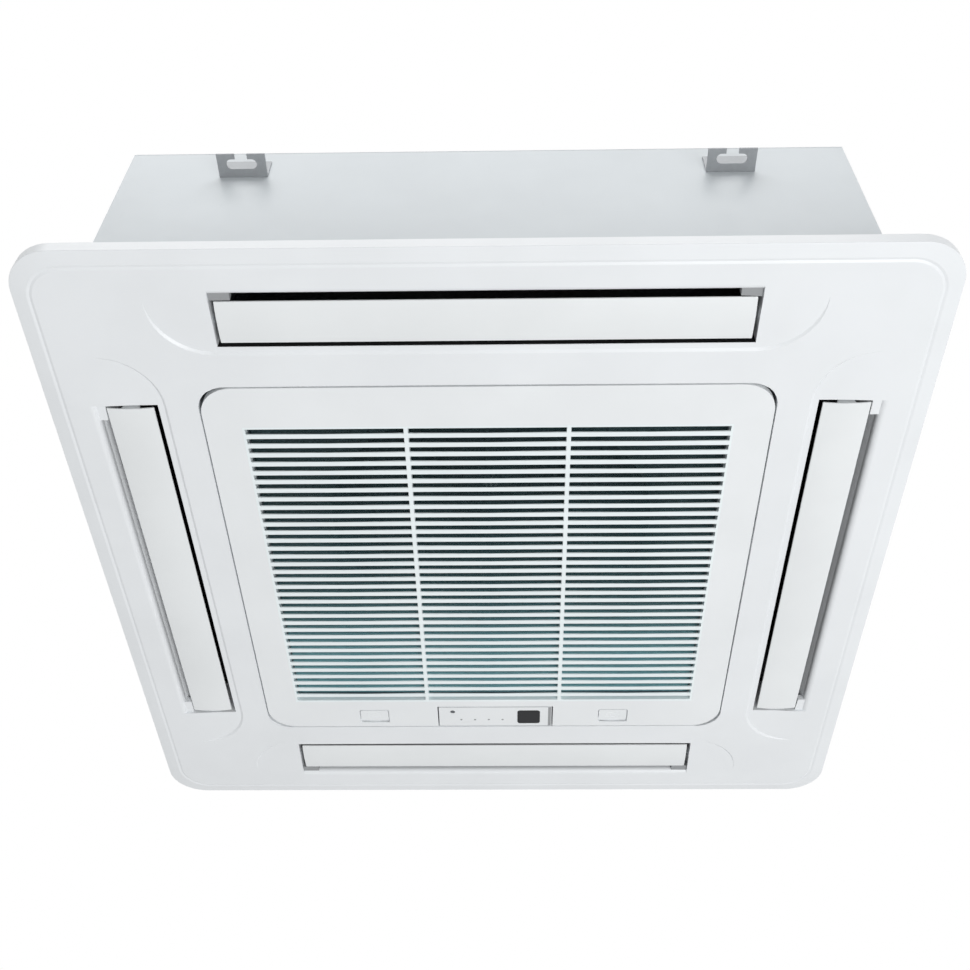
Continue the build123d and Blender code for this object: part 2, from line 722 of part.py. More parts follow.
# ================================================================ intake grille
def make_intake_grille():
    """Hinged door: rounded frame, three columns of slots, latch windows and rails."""
    with BuildPart() as grille:
        with BuildSketch():
            with Locations((0, GRILLE_Y)):
                RectangleRounded(GRILLE_WIDTH, GRILLE_LENGTH, GRILLE_CORNER_R)
        extrude(amount=GRILLE_H)
        with BuildSketch(Plane.XY.offset(GRILLE_SKIN)):
            with Locations((0, GRILLE_Y)):
                RectangleRounded(
                    GRILLE_WIDTH - 2 * GRILLE_WALL,
                    GRILLE_LENGTH - 2 * GRILLE_WALL,
                    GRILLE_CORNER_R - GRILLE_WALL,
                )
        extrude(amount=GRILLE_H, mode=Mode.SUBTRACT)
        # slotted field: shallow slats between deeper dividers that carry the filter
        with BuildSketch(Plane.XY.offset(GRILLE_SKIN)):
            with Locations((0, SLOT_FIELD_Y)):
                Rectangle(FIELD_X + 2 * FIELD_BORDER, FIELD_Y + 2 * FIELD_BORDER)
        extrude(amount=GRILLE_H - GRILLE_SKIN)
        with BuildSketch(Plane.XY.offset(SLAT_DEPTH)):
            with Locations((0, SLOT_FIELD_Y)):
                with GridLocations(COLUMN_PITCH, 0, SLOT_COLUMNS, 1):
                    Rectangle(SLOT_LENGTH, FIELD_Y)
        extrude(amount=GRILLE_H, mode=Mode.SUBTRACT)
        with BuildSketch():
            with Locations((0, SLOT_FIELD_Y)):
                with GridLocations(COLUMN_PITCH, SLOT_PITCH, SLOT_COLUMNS, SLOT_COUNT):
                    Rectangle(SLOT_LENGTH, SLOT_WIDTH)
        extrude(amount=GRILLE_H, mode=Mode.SUBTRACT)
        # notch that leaves the receiver strip on the panel
        with BuildSketch():
            with Locations((STRIP_X, STRIP_NEAR - STRIP_GAP)):
                Rectangle(
                    STRIP_SIZE[0] + 2 * STRIP_GAP,
                    GRILLE_FAR - STRIP_NEAR + 2 * STRIP_GAP,
                    align=(Align.CENTER, Align.MIN),
                )
        extrude(amount=GRILLE_H, mode=Mode.SUBTRACT)
        # windows for the latch pads, and gates for their noses
        with BuildSketch():
            with Locations((-LATCH_X, LATCH_Y), (LATCH_X, LATCH_Y)):
                RectangleRounded(*LATCH_WINDOW, LATCH_CORNER_R)
        extrude(amount=GRILLE_SKIN, mode=Mode.SUBTRACT)
        with BuildSketch(Plane.XY.offset(GRILLE_SKIN)):
            with Locations((-LATCH_X, GRILLE_FAR), (LATCH_X, GRILLE_FAR)):
                Rectangle(LATCH_NOSE + 2 * LATCH_FIT, 2 * GRILLE_WALL + LATCH_FIT)
        extrude(amount=GRILLE_H, mode=Mode.SUBTRACT)
        for x in (-LATCH_X, LATCH_X):
            for hand in (-1, 1):
                # rail with a lip over the edge of the latch plate
                with BuildSketch(at_y(LATCH_Y)):
                    side = x + hand * (LATCH_PLATE_WIDTH / 2 + LATCH_FIT)
                    Polygon(
                        (side, GRILLE_SKIN),
                        (side, RAIL_UNDER),
                        (side - hand * LATCH_RAIL_LIP, RAIL_UNDER),
                        (side - hand * LATCH_RAIL_LIP, RAIL_UNDER + LATCH_RAIL_LIP),
                        (side + hand * LATCH_RAIL, RAIL_UNDER + LATCH_RAIL_LIP),
                        (side + hand * LATCH_RAIL, GRILLE_SKIN),
                        align=None,
                    )
                extrude(amount=LATCH_WINDOW[1] / 2, both=True)
        for x in (-HINGE_X, HINGE_X):
            # pocket for the panel's hinge arm, between two ears
            with BuildSketch(Plane.XY.offset(GRILLE_SKIN)):
                with Locations((x, GRILLE_NEAR)):
                    Rectangle(
                        HINGE_POCKET,
                        HINGE_Y + KNUCKLE_R + HINGE_SIDE_GAP - GRILLE_NEAR,
                        align=(Align.CENTER, Align.MIN),
                    )
            extrude(amount=GRILLE_H, mode=Mode.SUBTRACT)
            for hand in (-1, 1):
                with BuildSketch(at_x(x + hand * (HINGE_POCKET + HINGE_EAR) / 2)):
                    with BuildLine():
                        Polyline(
                            (HINGE_Y + KNUCKLE_R, HINGE_Z),
                            (HINGE_Y + KNUCKLE_R, GRILLE_SKIN),
                            (HINGE_Y - KNUCKLE_R, GRILLE_SKIN),
                            (HINGE_Y - KNUCKLE_R, HINGE_Z),
                        )
                        RadiusArc(
                            (HINGE_Y - KNUCKLE_R, HINGE_Z), (HINGE_Y + KNUCKLE_R, HINGE_Z), KNUCKLE_R
                        )
                    make_face()
                    with Locations((HINGE_Y, HINGE_Z)):
                        Circle(HINGE_PIN_R, mode=Mode.SUBTRACT)
                extrude(amount=HINGE_EAR / 2, both=True)
        # four clips that hold the filter frame down on the slotted field
        for hand in (-1, 1):
            for x in (-CLIP_X, CLIP_X):
                edge = FILTER_Y + hand * FILTER_LENGTH / 2
                with BuildSketch(at_x(x)):
                    Polygon(
                        (edge, GRILLE_SKIN),
                        (edge, CLIP_UNDER),
                        (edge - hand * CLIP_LIP, CLIP_UNDER),
                        (edge, CLIP_UNDER + CLIP_LIP),
                        (edge + hand * CLIP_WALL, CLIP_UNDER + CLIP_LIP),
                        (edge + hand * CLIP_WALL, GRILLE_SKIN),
                        align=None,
                    )
                extrude(amount=CLIP_WIDTH / 2, both=True)
    return grille


def make_hinge_pins():
    with BuildPart() as pins:
        for x in (-HINGE_X, HINGE_X):
            with BuildSketch(at_x(x)):
                with Locations((HINGE_Y, HINGE_Z)):
                    Circle(HINGE_PIN_R)
            extrude(amount=HINGE_POCKET / 2 + HINGE_EAR, both=True)
    return pins


def make_latch(x):
    """Sliding latch: finger pad in the window, guided plate and a nose for the catch."""
    low = GRILLE_SKIN + LATCH_FIT
    nose_length = GRILLE_FAR - LATCH_PLATE_NEAR
    with BuildPart() as latch:
        with BuildSketch(Plane.XY.offset(low)):
            with Locations((x, LATCH_PLATE_NEAR)):
                Rectangle(
                    LATCH_PLATE_WIDTH,
                    LATCH_PLATE_FAR - LATCH_PLATE_NEAR,
                    align=(Align.CENTER, Align.MIN),
                )
                Rectangle(LATCH_NOSE, nose_length, align=(Align.CENTER, Align.MIN))
        extrude(amount=LATCH_PLATE_THICK)
        with BuildSketch(Plane.XY.offset(LATCH_PAD_RECESS)):
            with Locations((x, LATCH_PAD_Y)):
                RectangleRounded(*LATCH_PAD, LATCH_CORNER_R)
        extrude(amount=low - LATCH_PAD_RECESS)
        # finger grooves across the pad
        with BuildSketch(Plane.XY.offset(LATCH_PAD_RECESS)):
            with Locations((x, LATCH_PAD_Y)):
                with GridLocations(0, LATCH_GROOVE_PITCH, 1, 3):
                    Rectangle(LATCH_PAD[0] / 2, LATCH_GROOVE)
        extrude(amount=LATCH_GROOVE / 2, mode=Mode.SUBTRACT)
    return latch


def make_filter_frame():
    """Moulded frame with cross ribs that keep the net flat."""
    level = Plane.XY.offset(GRILLE_H)
    open_x = FILTER_WIDTH - 2 * FILTER_BORDER
    open_y = FILTER_LENGTH - 2 * FILTER_BORDER
    with BuildPart() as frame:
        with BuildSketch(level):
            with Locations((0, FILTER_Y)):
                Rectangle(FILTER_WIDTH, FILTER_LENGTH)
                Rectangle(open_x, open_y, mode=Mode.SUBTRACT)
        extrude(amount=FILTER_H)
        with BuildSketch(level.offset(NET_LEVEL + NET_THICK)):
            with Locations((0, FILTER_Y)):
                with GridLocations(open_x / FILTER_CELLS, 0, FILTER_CELLS - 1, 1):
                    Rectangle(FILTER_RIB, open_y)
                with GridLocations(0, open_y / FILTER_CELLS, 1, FILTER_CELLS - 1):
                    Rectangle(open_x, FILTER_RIB)
        extrude(amount=FILTER_H - NET_LEVEL - NET_THICK)
    return frame


def make_filter_net():
    """Flat net in the frame: one holed sheet."""
    open_x = FILTER_WIDTH - 2 * FILTER_BORDER
    open_y = FILTER_LENGTH - 2 * FILTER_BORDER
    cell_x = (open_x - NET_BAR) / NET_GAPS[0]
    cell_y = (open_y - NET_BAR) / NET_GAPS[1]
    with BuildPart() as net:
        with BuildSketch(Plane.XY.offset(GRILLE_H + NET_LEVEL)):
            with Locations((0, FILTER_Y)):
                Rectangle(open_x, open_y)
                with GridLocations(cell_x, cell_y, *NET_GAPS):
                    Rectangle(cell_x - NET_BAR, cell_y - NET_BAR, mode=Mode.SUBTRACT)
        extrude(amount=NET_THICK)
    return net


# ================================================================ receiver strip
def make_strip_cover():
    """Shallow box in the grille's notch, held to the panel by a tongue."""
    with BuildPart() as cover:
        with BuildSketch():
            with Locations((STRIP_X, STRIP_Y)):
                Rectangle(*STRIP_SIZE)
        extrude(amount=STRIP_H)
        with BuildSketch(Plane.XY.offset(STRIP_WALL)):
            with Locations((STRIP_X, STRIP_Y)):
                Rectangle(STRIP_SIZE[0] - 2 * STRIP_WALL, STRIP_SIZE[1] - 2 * STRIP_WALL)
        extrude(amount=STRIP_H, mode=Mode.SUBTRACT)
        with BuildSketch():
            with Locations((WINDOW_X, WINDOW_Y)):
                RectangleRounded(*WINDOW_SIZE, WINDOW_R)
            with Locations((BUTTON_X, BUTTON_Y)):
                Circle(BUTTON_R + BUTTON_FIT)
            with Locations((LIGHT_X, LIGHT_Y)):
                with GridLocations(LIGHT_PITCH, 0, LIGHT_COUNT, 1):
                    Circle(LIGHT_R)
        extrude(amount=STRIP_WALL, mode=Mode.SUBTRACT)
        with BuildSketch(at_y(STRIP_FAR)):
            with Locations((STRIP_X, STRIP_H)):
                Rectangle(*STRIP_TONGUE, align=(Align.CENTER, Align.MAX))
        extrude(amount=-(OPENING_FAR - STRIP_FAR))
    return cover


def make_strip_board():
    """Circuit board with the button's switch on its lower side."""
    with BuildPart() as board:
        with BuildSketch(Plane.XY.offset(BOARD_LEVEL)):
            with Locations((STRIP_X, STRIP_Y)):
                Rectangle(STRIP_SIZE[0] - 2 * STRIP_WALL, STRIP_SIZE[1] - 2 * STRIP_WALL)
        extrude(amount=BOARD_THICK)
        with BuildSketch(Plane.XY.offset(BOARD_LEVEL)):
            with Locations((BUTTON_X, BUTTON_Y)):
                Rectangle(SWITCH_SIZE, SWITCH_SIZE)
        extrude(amount=-SWITCH_H)
        with BuildSketch(Plane.XY.offset(WINDOW_THICK)):
            with Locations((WINDOW_X, WINDOW_Y)):
                Rectangle(WINDOW_SIZE[0] / 2, WINDOW_SIZE[1] / 2)
        extrude(amount=BOARD_LEVEL - WINDOW_THICK)
    return board


def make_infrared_window():
    with BuildPart() as window:
        with BuildSketch():
            with Locations((WINDOW_X, WINDOW_Y)):
                RectangleRounded(*WINDOW_SIZE, WINDOW_R)
        extrude(amount=WINDOW_THICK)
    return window


def make_indicator_lights():
    """Light pipes from the board to the face, one for each indicator."""
    with BuildPart() as lights:
        with BuildSketch():
            with Locations((LIGHT_X, LIGHT_Y)):
                with GridLocations(LIGHT_PITCH, 0, LIGHT_COUNT, 1):
                    Circle(LIGHT_R)
        extrude(amount=BOARD_LEVEL)
    return lights


def make_push_button():
    with BuildPart() as button:
        with BuildSketch(Plane.XY.offset(BUTTON_RECESS)):
            with Locations((BUTTON_X, BUTTON_Y)):
                Circle(BUTTON_R)
        extrude(amount=STRIP_WALL)
        with BuildSketch(Plane.XY.offset(STRIP_WALL + BUTTON_RECESS)):
            with Locations((BUTTON_X, BUTTON_Y)):
                Circle(BUTTON_FLANGE_R)
        extrude(amount=BUTTON_FLANGE)
        with BuildSketch(Plane.XY.offset(STRIP_WALL + BUTTON_RECESS)):
            with Locations((BUTTON_X, BUTTON_Y)):
                Circle(BUTTON_STEM_R)
        extrude(amount=SWITCH_FACE - BUTTON_TRAVEL - BUTTON_FIT - STRIP_WALL - BUTTON_RECESS)
    return button


# ================================================================ casing
def make_casing_top():
    """Square top sheet with four diagonal beads and a raised round over the motor."""
    with BuildPart() as top:
        with BuildSketch(Plane.XY.offset(SHEET_TOP)):
            Rectangle(CASING_SIZE, CASING_SIZE)
        extrude(amount=SHEET)
        with BuildSketch(Plane.XY.offset(CASING_TOP)):
            for turn in BEAD_TURNS:
                with Locations(Location((0, 0), turn)):
                    with Locations((BEAD_REACH, 0)):
                        SlotOverall(BEAD_LENGTH, BEAD_WIDTH)
            Circle(CROWN_R)
        extrude(amount=BEAD_H)
        with BuildSketch(Plane.XY.offset(SHEET_TOP)):
            for turn in BEAD_TURNS:
                with Locations(Location((0, 0), turn)):
                    with Locations((BEAD_REACH, 0)):
                        SlotOverall(BEAD_LENGTH - 2 * SHEET, BEAD_WIDTH - 2 * SHEET)
            Circle(CROWN_R - SHEET)
        extrude(amount=BEAD_H, mode=Mode.SUBTRACT)
    return top


def make_casing_side(side):
    """One side sheet; the near and far ones cover the edges of the other two."""
    length = 2 * CAVITY if side in ("right", "left") else CASING_SIZE
    with BuildPart() as sheet:
        with BuildSketch(side_plane(SIDES[side], CASING_BOTTOM)):
            with Locations((0, -CAVITY)):
                Rectangle(length, SHEET, align=(Align.CENTER, Align.MAX))
        extrude(amount=SHEET_TOP - CASING_BOTTOM)
        if side == "far":
            # openings for the pipes and the cable
            with BuildSketch(at_y(CASING_HALF)):
                with Locations((COVER_X, COVER_Z)):
                    Rectangle(COVER_SIZE[0] - 2 * COVER_LAP, COVER_SIZE[1] - 2 * COVER_LAP)
                with Locations((CABLE_X, CABLE_Z)):
                    Circle(CABLE_HOLE_R)
            extrude(amount=SHEET, mode=Mode.SUBTRACT)
        if side == "right":
            # opening for the drain
            with BuildSketch(at_x(CASING_HALF)):
                with Locations((DRAIN_Y, DRAIN_Z)):
                    Circle(DRAIN_R)
            extrude(amount=-SHEET, mode=Mode.SUBTRACT)
    return sheet


def make_casing_insulation():
    """Foam lining of the top and the walls above the drain pan."""
    with BuildPart() as foam:
        with BuildSketch(Plane.XY.offset(PAN_TOP)):
            Rectangle(2 * CAVITY, 2 * CAVITY)
        extrude(amount=SHEET_TOP - PAN_TOP)
        with BuildSketch(Plane.XY.offset(PAN_TOP)):
            RectangleRounded(2 * FOAM_IN, 2 * FOAM_IN, WALL_FOAM)
        extrude(amount=FOAM_LOW - PAN_TOP, mode=Mode.SUBTRACT)
        with BuildSketch(Plane.XY.offset(FOAM_LOW)):
            with PolarLocations(STUD_CIRCLE, 4, start_angle=45):
                Circle(DAMPER_R + DAMPER_GAP)
        extrude(amount=TOP_FOAM, mode=Mode.SUBTRACT)
        with BuildSketch(at_y(CAVITY)):
            with Locations((COVER_X, COVER_Z)):
                Rectangle(COVER_SIZE[0] - 2 * COVER_LAP, COVER_SIZE[1] - 2 * COVER_LAP)
            with Locations((CABLE_X, CABLE_Z)):
                Circle(CABLE_HOLE_R)
        extrude(amount=WALL_FOAM, mode=Mode.SUBTRACT)
        with BuildSketch(at_x(CAVITY)):
            with Locations((DRAIN_Y, DRAIN_Z)):
                Circle(DRAIN_R)
        extrude(amount=-WALL_FOAM, mode=Mode.SUBTRACT)
    return foam


def make_hanger(x, hand):
    """Angle bracket with an open slot for a threaded rod; hand is -1 near, 1 far."""
    wall = hand * CASING_HALF
    with BuildPart() as hanger:
        with BuildSketch(Plane.XY.offset(HANGER_Z)):
            with Locations((x, wall + hand * HANGER_REACH / 2)):
                Rectangle(HANGER_WIDTH, HANGER_REACH)
            with Locations((x, wall + hand * HANGER_SLOT_OUT)):
                SlotOverall(HANGER_SLOT_L, HANGER_SLOT_W, mode=Mode.SUBTRACT)
            with Locations((x, wall + hand * (HANGER_SLOT_OUT + HANGER_REACH) / 2)):
                Rectangle(HANGER_NOTCH, HANGER_REACH - HANGER_SLOT_OUT, mode=Mode.SUBTRACT)
        extrude(amount=HANGER_SHEET)
        with BuildSketch(Plane.XY.offset(HANGER_Z)):
            with Locations((x, wall + hand * HANGER_SHEET / 2)):
                Rectangle(HANGER_WIDTH, HANGER_SHEET)
        extrude(amount=HANGER_LEG)
    return hanger


def make_pipe_cover():
    """Plate over the pipe opening, with one snug hole for each pipe."""
    with BuildPart() as cover:
        with BuildSketch(at_y(CASING_HALF)):
            with Locations((COVER_X, COVER_Z)):
                RectangleRounded(*COVER_SIZE, COVER_LAP / 2)
            with Locations((GAS_X, GAS_Z)):
                Circle(GAS_R + PIPE_GAP, mode=Mode.SUBTRACT)
            with Locations((LIQUID_X, LIQUID_Z)):
                Circle(LIQUID_R + PIPE_GAP, mode=Mode.SUBTRACT)
        extrude(amount=-COVER_THICK)
    return cover


def make_cable_grommet():
    """Rubber ring in the casing wall, with a lip on each side."""
    depth = SHEET + WALL_FOAM
    with BuildPart() as grommet:
        with BuildSketch(at_y(CASING_HALF)):
            with Locations((CABLE_X, CABLE_Z)):
                Circle(CABLE_HOLE_R)
        extrude(amount=depth)
        with BuildSketch(at_y(CASING_HALF)):
            with Locations((CABLE_X, CABLE_Z)):
                Circle(CABLE_HOLE_R + GROMMET_LIP)
        extrude(amount=-GROMMET_LIP_THICK)
        with BuildSketch(at_y(CASING_HALF - depth)):
            with Locations((CABLE_X, CABLE_Z)):
                Circle(CABLE_HOLE_R + GROMMET_LIP)
        extrude(amount=GROMMET_LIP_THICK)
        with BuildSketch(at_y(CASING_HALF + GROMMET_LIP_THICK)):
            with Locations((CABLE_X, CABLE_Z)):
                Circle(CABLE_BORE_R)
        extrude(amount=depth + 2 * GROMMET_LIP_THICK, mode=Mode.SUBTRACT)
    return grommet


# ================================================================ drain pan and bell mouth
def make_drain_pan():
    """Foam pan: four outlet ducts, a trough under the heat exchanger and a fan hole."""
    trough_out = COIL_OUT + TROUGH_GAP
    trough_in = COIL_IN - TROUGH_GAP
    corner_in = COIL_CORNER_R - COIL_THICK - TROUGH_GAP
    with BuildPart() as pan:
        with BuildSketch(Plane.XY.offset(CASING_BOTTOM)):
            Rectangle(2 * CAVITY, 2 * CAVITY)
        extrude(amount=PAN_TOP - CASING_BOTTOM)
        with BuildSketch(Plane.XY.offset(TROUGH_FLOOR)):
            RectangleRounded(2 * trough_out, 2 * trough_out, COIL_CORNER_R + TROUGH_GAP)
            # sump for the pump and the float in one corner
            with Locations((SUMP_IN, SUMP_IN)):
                Rectangle(SUMP_OUT - SUMP_IN, SUMP_OUT - SUMP_IN, align=Align.MIN)
            with Locations((SUMP_PASS, SUMP_PASS)):
                Rectangle(SUMP_OUT - SUMP_PASS, SUMP_OUT - SUMP_PASS, align=Align.MIN)
            RectangleRounded(2 * trough_in, 2 * trough_in, corner_in, mode=Mode.SUBTRACT)
        extrude(amount=PAN_TOP - TROUGH_FLOOR, mode=Mode.SUBTRACT)
        with BuildSketch(Plane.XY.offset(CASING_BOTTOM)):
            Circle(PAN_HOLE_R)
        extrude(amount=PAN_TOP - CASING_BOTTOM, mode=Mode.SUBTRACT)
        with BuildSketch(Plane.XY.offset(CASING_BOTTOM)):
            with Locations(*BOLT_PLACES):
                Circle(BOLT_R + BOLT_FIT)
        extrude(amount=BOLT_END + BOLT_END_GAP - CASING_BOTTOM, mode=Mode.SUBTRACT)
        for turn in SIDES.values():
            with BuildSketch(side_plane(turn, CASING_BOTTOM)):
                with Locations((0, -(PAN_DUCT_IN + PAN_DUCT_OUT) / 2)):
                    Rectangle(2 * PAN_DUCT_HALF, PAN_DUCT_OUT - PAN_DUCT_IN)
            extrude(amount=PAN_TOP - CASING_BOTTOM, mode=Mode.SUBTRACT)
    return pan


def make_bell_mouth():
    """Square plate under the pan that curves up into the fan's round inlet."""
    start_r = BELL_THROAT_R + BELL_CURVE_R
    with BuildPart() as bell:
        with BuildSketch(Plane.XY.offset(BELL_LOW)):
            RectangleRounded(BELL_PLATE, BELL_PLATE, BELL_PLATE_R)
            Circle(start_r, mode=Mode.SUBTRACT)
        extrude(amount=BELL_THICK)
        with BuildSketch(Plane.XZ):
            with BuildLine():
                inside = TangentArc((start_r, BELL_LOW), (BELL_THROAT_R, BELL_TIP), tangent=(-1, 0))
                tip = Line(inside @ 1, (BELL_THROAT_R + BELL_THICK, BELL_TIP))
                outside = TangentArc(tip @ 1, (start_r, BELL_LOW + BELL_THICK), tangent=(0, -1))
                Line(outside @ 1, inside @ 0)
            make_face()
        revolve(axis=Axis.Z)
    return bell


# ================================================================ heat exchanger
def make_coil_fins():
    """Square ring of vertical fins, open at the corner where the pipes leave."""
    core_out = COIL_SIZE - 2 * FIN_PROUD
    core_in = 2 * (COIL_IN + FIN_PROUD)
    core_in_r = COIL_CORNER_R - COIL_THICK + FIN_PROUD
    with BuildPart() as fins:
        with BuildSketch(Plane.XY.offset(COIL_BOTTOM)):
            RectangleRounded(core_out, core_out, COIL_CORNER_R - FIN_PROUD)
            for turn in SIDES.values():
                with Locations(Location((0, 0), turn)):
                    with Locations((0, COIL_OUT - COIL_THICK / 2)):
                        with GridLocations(FIN_PITCH, 0, FIN_COUNT, 1):
                            Rectangle(FIN_THICK, COIL_THICK)
            RectangleRounded(core_in, core_in, core_in_r, mode=Mode.SUBTRACT)
            for turn in SIDES.values():
                with Locations(Location((0, 0), turn)):
                    with Locations((0, COIL_IN + FIN_PROUD / 2)):
                        with GridLocations(FIN_PITCH, 0, FIN_COUNT, 1):
                            Rectangle(FIN_THICK, FIN_PROUD)
            with Locations((-COIL_OPEN, COIL_OPEN)):
                Rectangle(COIL_SIZE, COIL_SIZE, align=(Align.MAX, Align.MIN), mode=Mode.SUBTRACT)
        extrude(amount=COIL_TOP - COIL_BOTTOM)
    return fins


def make_coil_end_plates():
    """Flat plates that close the two ends of the fin ring and stand in the trough."""
    middle = COIL_OUT - COIL_THICK / 2
    with BuildPart() as plates:
        with BuildSketch(Plane.XY.offset(TROUGH_FLOOR)):
            with Locations((-COIL_OPEN - END_PLATE / 2, middle)):
                Rectangle(END_PLATE, COIL_THICK)
            with Locations((-middle, COIL_OPEN + END_PLATE / 2)):
                Rectangle(COIL_THICK, END_PLATE)
        extrude(amount=COIL_TOP - TROUGH_FLOOR)
    return plates


def make_coil_bends():
    """Copper return bends that join the tube rows at the two ends of the ring."""
    middle = COIL_OUT - COIL_THICK / 2
    face = COIL_OPEN + END_PLATE
    with BuildPart() as bends:
        for row in range(BEND_ROWS):
            level = BEND_FIRST_Z + row * BEND_PITCH
            for end_plane in (
                Plane(origin=(-face, middle, level), x_dir=(0, 0, 1), z_dir=(-1, 0, 0)),
                Plane(origin=(-middle, face, level), x_dir=(0, 0, 1), z_dir=(0, 1, 0)),
            ):
                with BuildSketch(end_plane):
                    with Locations((BEND_R, 0)):
                        Circle(BEND_TUBE_R)
                revolve(axis=Axis(end_plane.origin, -end_plane.y_dir), revolution_arc=180)
    return bends


def make_pipe(start, corner, header, level, outer_r, bore_r):
    """Upright header fed from an end plate, with a straight pipe out through the wall."""
    with BuildPart() as pipe:
        with BuildSketch(Plane.XY.offset(HEADER_BOTTOM)):
            with Locations(header):
                Circle(outer_r)
        extrude(amount=HEADER_TOP - HEADER_BOTTOM)
        with BuildSketch(at_y(header[1])):
            with Locations((header[0], level)):
                Circle(outer_r)
        extrude(amount=-(PIPE_END - header[1]))
        with BuildSketch(at_y(PIPE_END)):
            with Locations((header[0], level)):
                Circle(bore_r)
        extrude(amount=PIPE_END - header[1], mode=Mode.SUBTRACT)
        for row in range(BEND_ROWS - 1):
            z = BEND_FIRST_Z + (row + 0.5) * BEND_PITCH
            with BuildLine():
                feeder = FilletPolyline((*start, z), (*corner, z), (*header, z), radius=FEEDER_BEND)
            with BuildSketch(Plane(feeder @ 0, z_dir=feeder % 0)):
                Circle(FEEDER_R)
            sweep()
    return pipe


def make_union(x, level, outer_r, bore_r, across_flats, thread_r):
    """Brass flare union on a pipe's end: hexagon, threaded spigot and bore."""
    with BuildPart() as union:
        with BuildSketch(at_y(UNION_START)):
            with Locations((x, level)):
                RegularPolygon(across_flats / 2, 6, major_radius=False)
        extrude(amount=-UNION_HEX)
        with BuildSketch(at_y(UNION_START + UNION_HEX)):
            with Locations((x, level)):
                Circle(thread_r)
        extrude(amount=-UNION_THREAD)
        with BuildSketch(at_y(UNION_START)):
            with Locations((x, level)):
                Circle(outer_r)
        extrude(amount=-(PIPE_END - UNION_START), mode=Mode.SUBTRACT)
        with BuildSketch(at_y(UNION_START)):
            with Locations((x, level)):
                Circle(bore_r)
        extrude(amount=-(UNION_HEX + UNION_THREAD), mode=Mode.SUBTRACT)
    return union


# ================================================================ fan and motor
def make_fan_motor():
    """Round motor with a lugged flange; its shaft bore opens downwards."""
    with BuildPart() as motor:
        with BuildSketch(Plane.XY.offset(MOTOR_LOW)):
            Circle(MOTOR_R)
        extrude(amount=MOTOR_FLANGE - MOTOR_LOW)
        low_rim = motor.edges().filter_by(GeomType.CIRCLE).sort_by(Axis.Z)[0]
        fillet(low_rim, MOTOR_EDGE_R)
        with BuildSketch(Plane.XY.offset(MOTOR_FLANGE)):
            Circle(MOTOR_R + FLANGE_THICK)
            with PolarLocations(STUD_CIRCLE / 2, 4, start_angle=45):
                SlotOverall(STUD_CIRCLE + 2 * LUG_R, 2 * LUG_R)
            with PolarLocations(STUD_CIRCLE, 4, start_angle=45):
                Circle(STUD_R + STUD_GAP, mode=Mode.SUBTRACT)
        extrude(amount=FLANGE_THICK)
        # cooling ribs round the can
        with BuildSketch(Plane.XY.offset(MOTOR_LOW + MOTOR_EDGE_R)):
            with PolarLocations(MOTOR_R, MOTOR_RIBS):
                Rectangle(2 * MOTOR_RIB, MOTOR_RIB)
        extrude(amount=MOTOR_FLANGE - MOTOR_LOW - 2 * MOTOR_EDGE_R)
        with BuildSketch(Plane.XY.offset(MOTOR_LOW)):
            Circle(SHAFT_R + SHAFT_FIT)
        extrude(amount=SHAFT_TOP + SHAFT_FIT - MOTOR_LOW, mode=Mode.SUBTRACT)
    return motor


def make_motor_shaft():
    with BuildPart() as shaft:
        with BuildSketch(Plane.XY.offset(SHAFT_LOW)):
            Circle(SHAFT_R)
        extrude(amount=SHAFT_TOP - SHAFT_LOW)
        chamfer(shaft.edges().filter_by(GeomType.CIRCLE).sort_by(Axis.Z)[0], SHAFT_R / 5)
    return shaft


def make_motor_dampers():
    """Four waisted rubber feet between the motor's lugs and the casing top."""
    low = MOTOR_FLANGE + FLANGE_THICK
    with BuildPart() as dampers:
        with BuildSketch(Plane.XY.offset(low)):
            with PolarLocations(STUD_CIRCLE, 4, start_angle=45):
                Circle(DAMPER_R)
                Circle(STUD_R, mode=Mode.SUBTRACT)
        extrude(amount=CROWN_UNDER - low)
        with BuildSketch(Plane.XY.offset(low + DAMPER_COLLAR)):
            with PolarLocations(STUD_CIRCLE, 4, start_angle=45):
                Circle(DAMPER_R)
                Circle(DAMPER_R - DAMPER_GAP, mode=Mode.SUBTRACT)
        extrude(amount=CROWN_UNDER - low - 2 * DAMPER_COLLAR, mode=Mode.SUBTRACT)
    return dampers


def make_motor_studs():
    """Four studs from the casing top, each with a nut under the motor's lug."""
    with BuildPart() as studs:
        with BuildSketch(Plane.XY.offset(STUD_LOW)):
            with PolarLocations(STUD_CIRCLE, 4, start_angle=45):
                Circle(STUD_R)
        extrude(amount=CROWN_UNDER - STUD_LOW)
        with BuildSketch(Plane.XY.offset(MOTOR_FLANGE)):
            with PolarLocations(STUD_CIRCLE, 4, start_angle=45):
                RegularPolygon(STUD_NUT_AF / 2, 6, major_radius=False)
        extrude(amount=-STUD_NUT_H)
    return studs


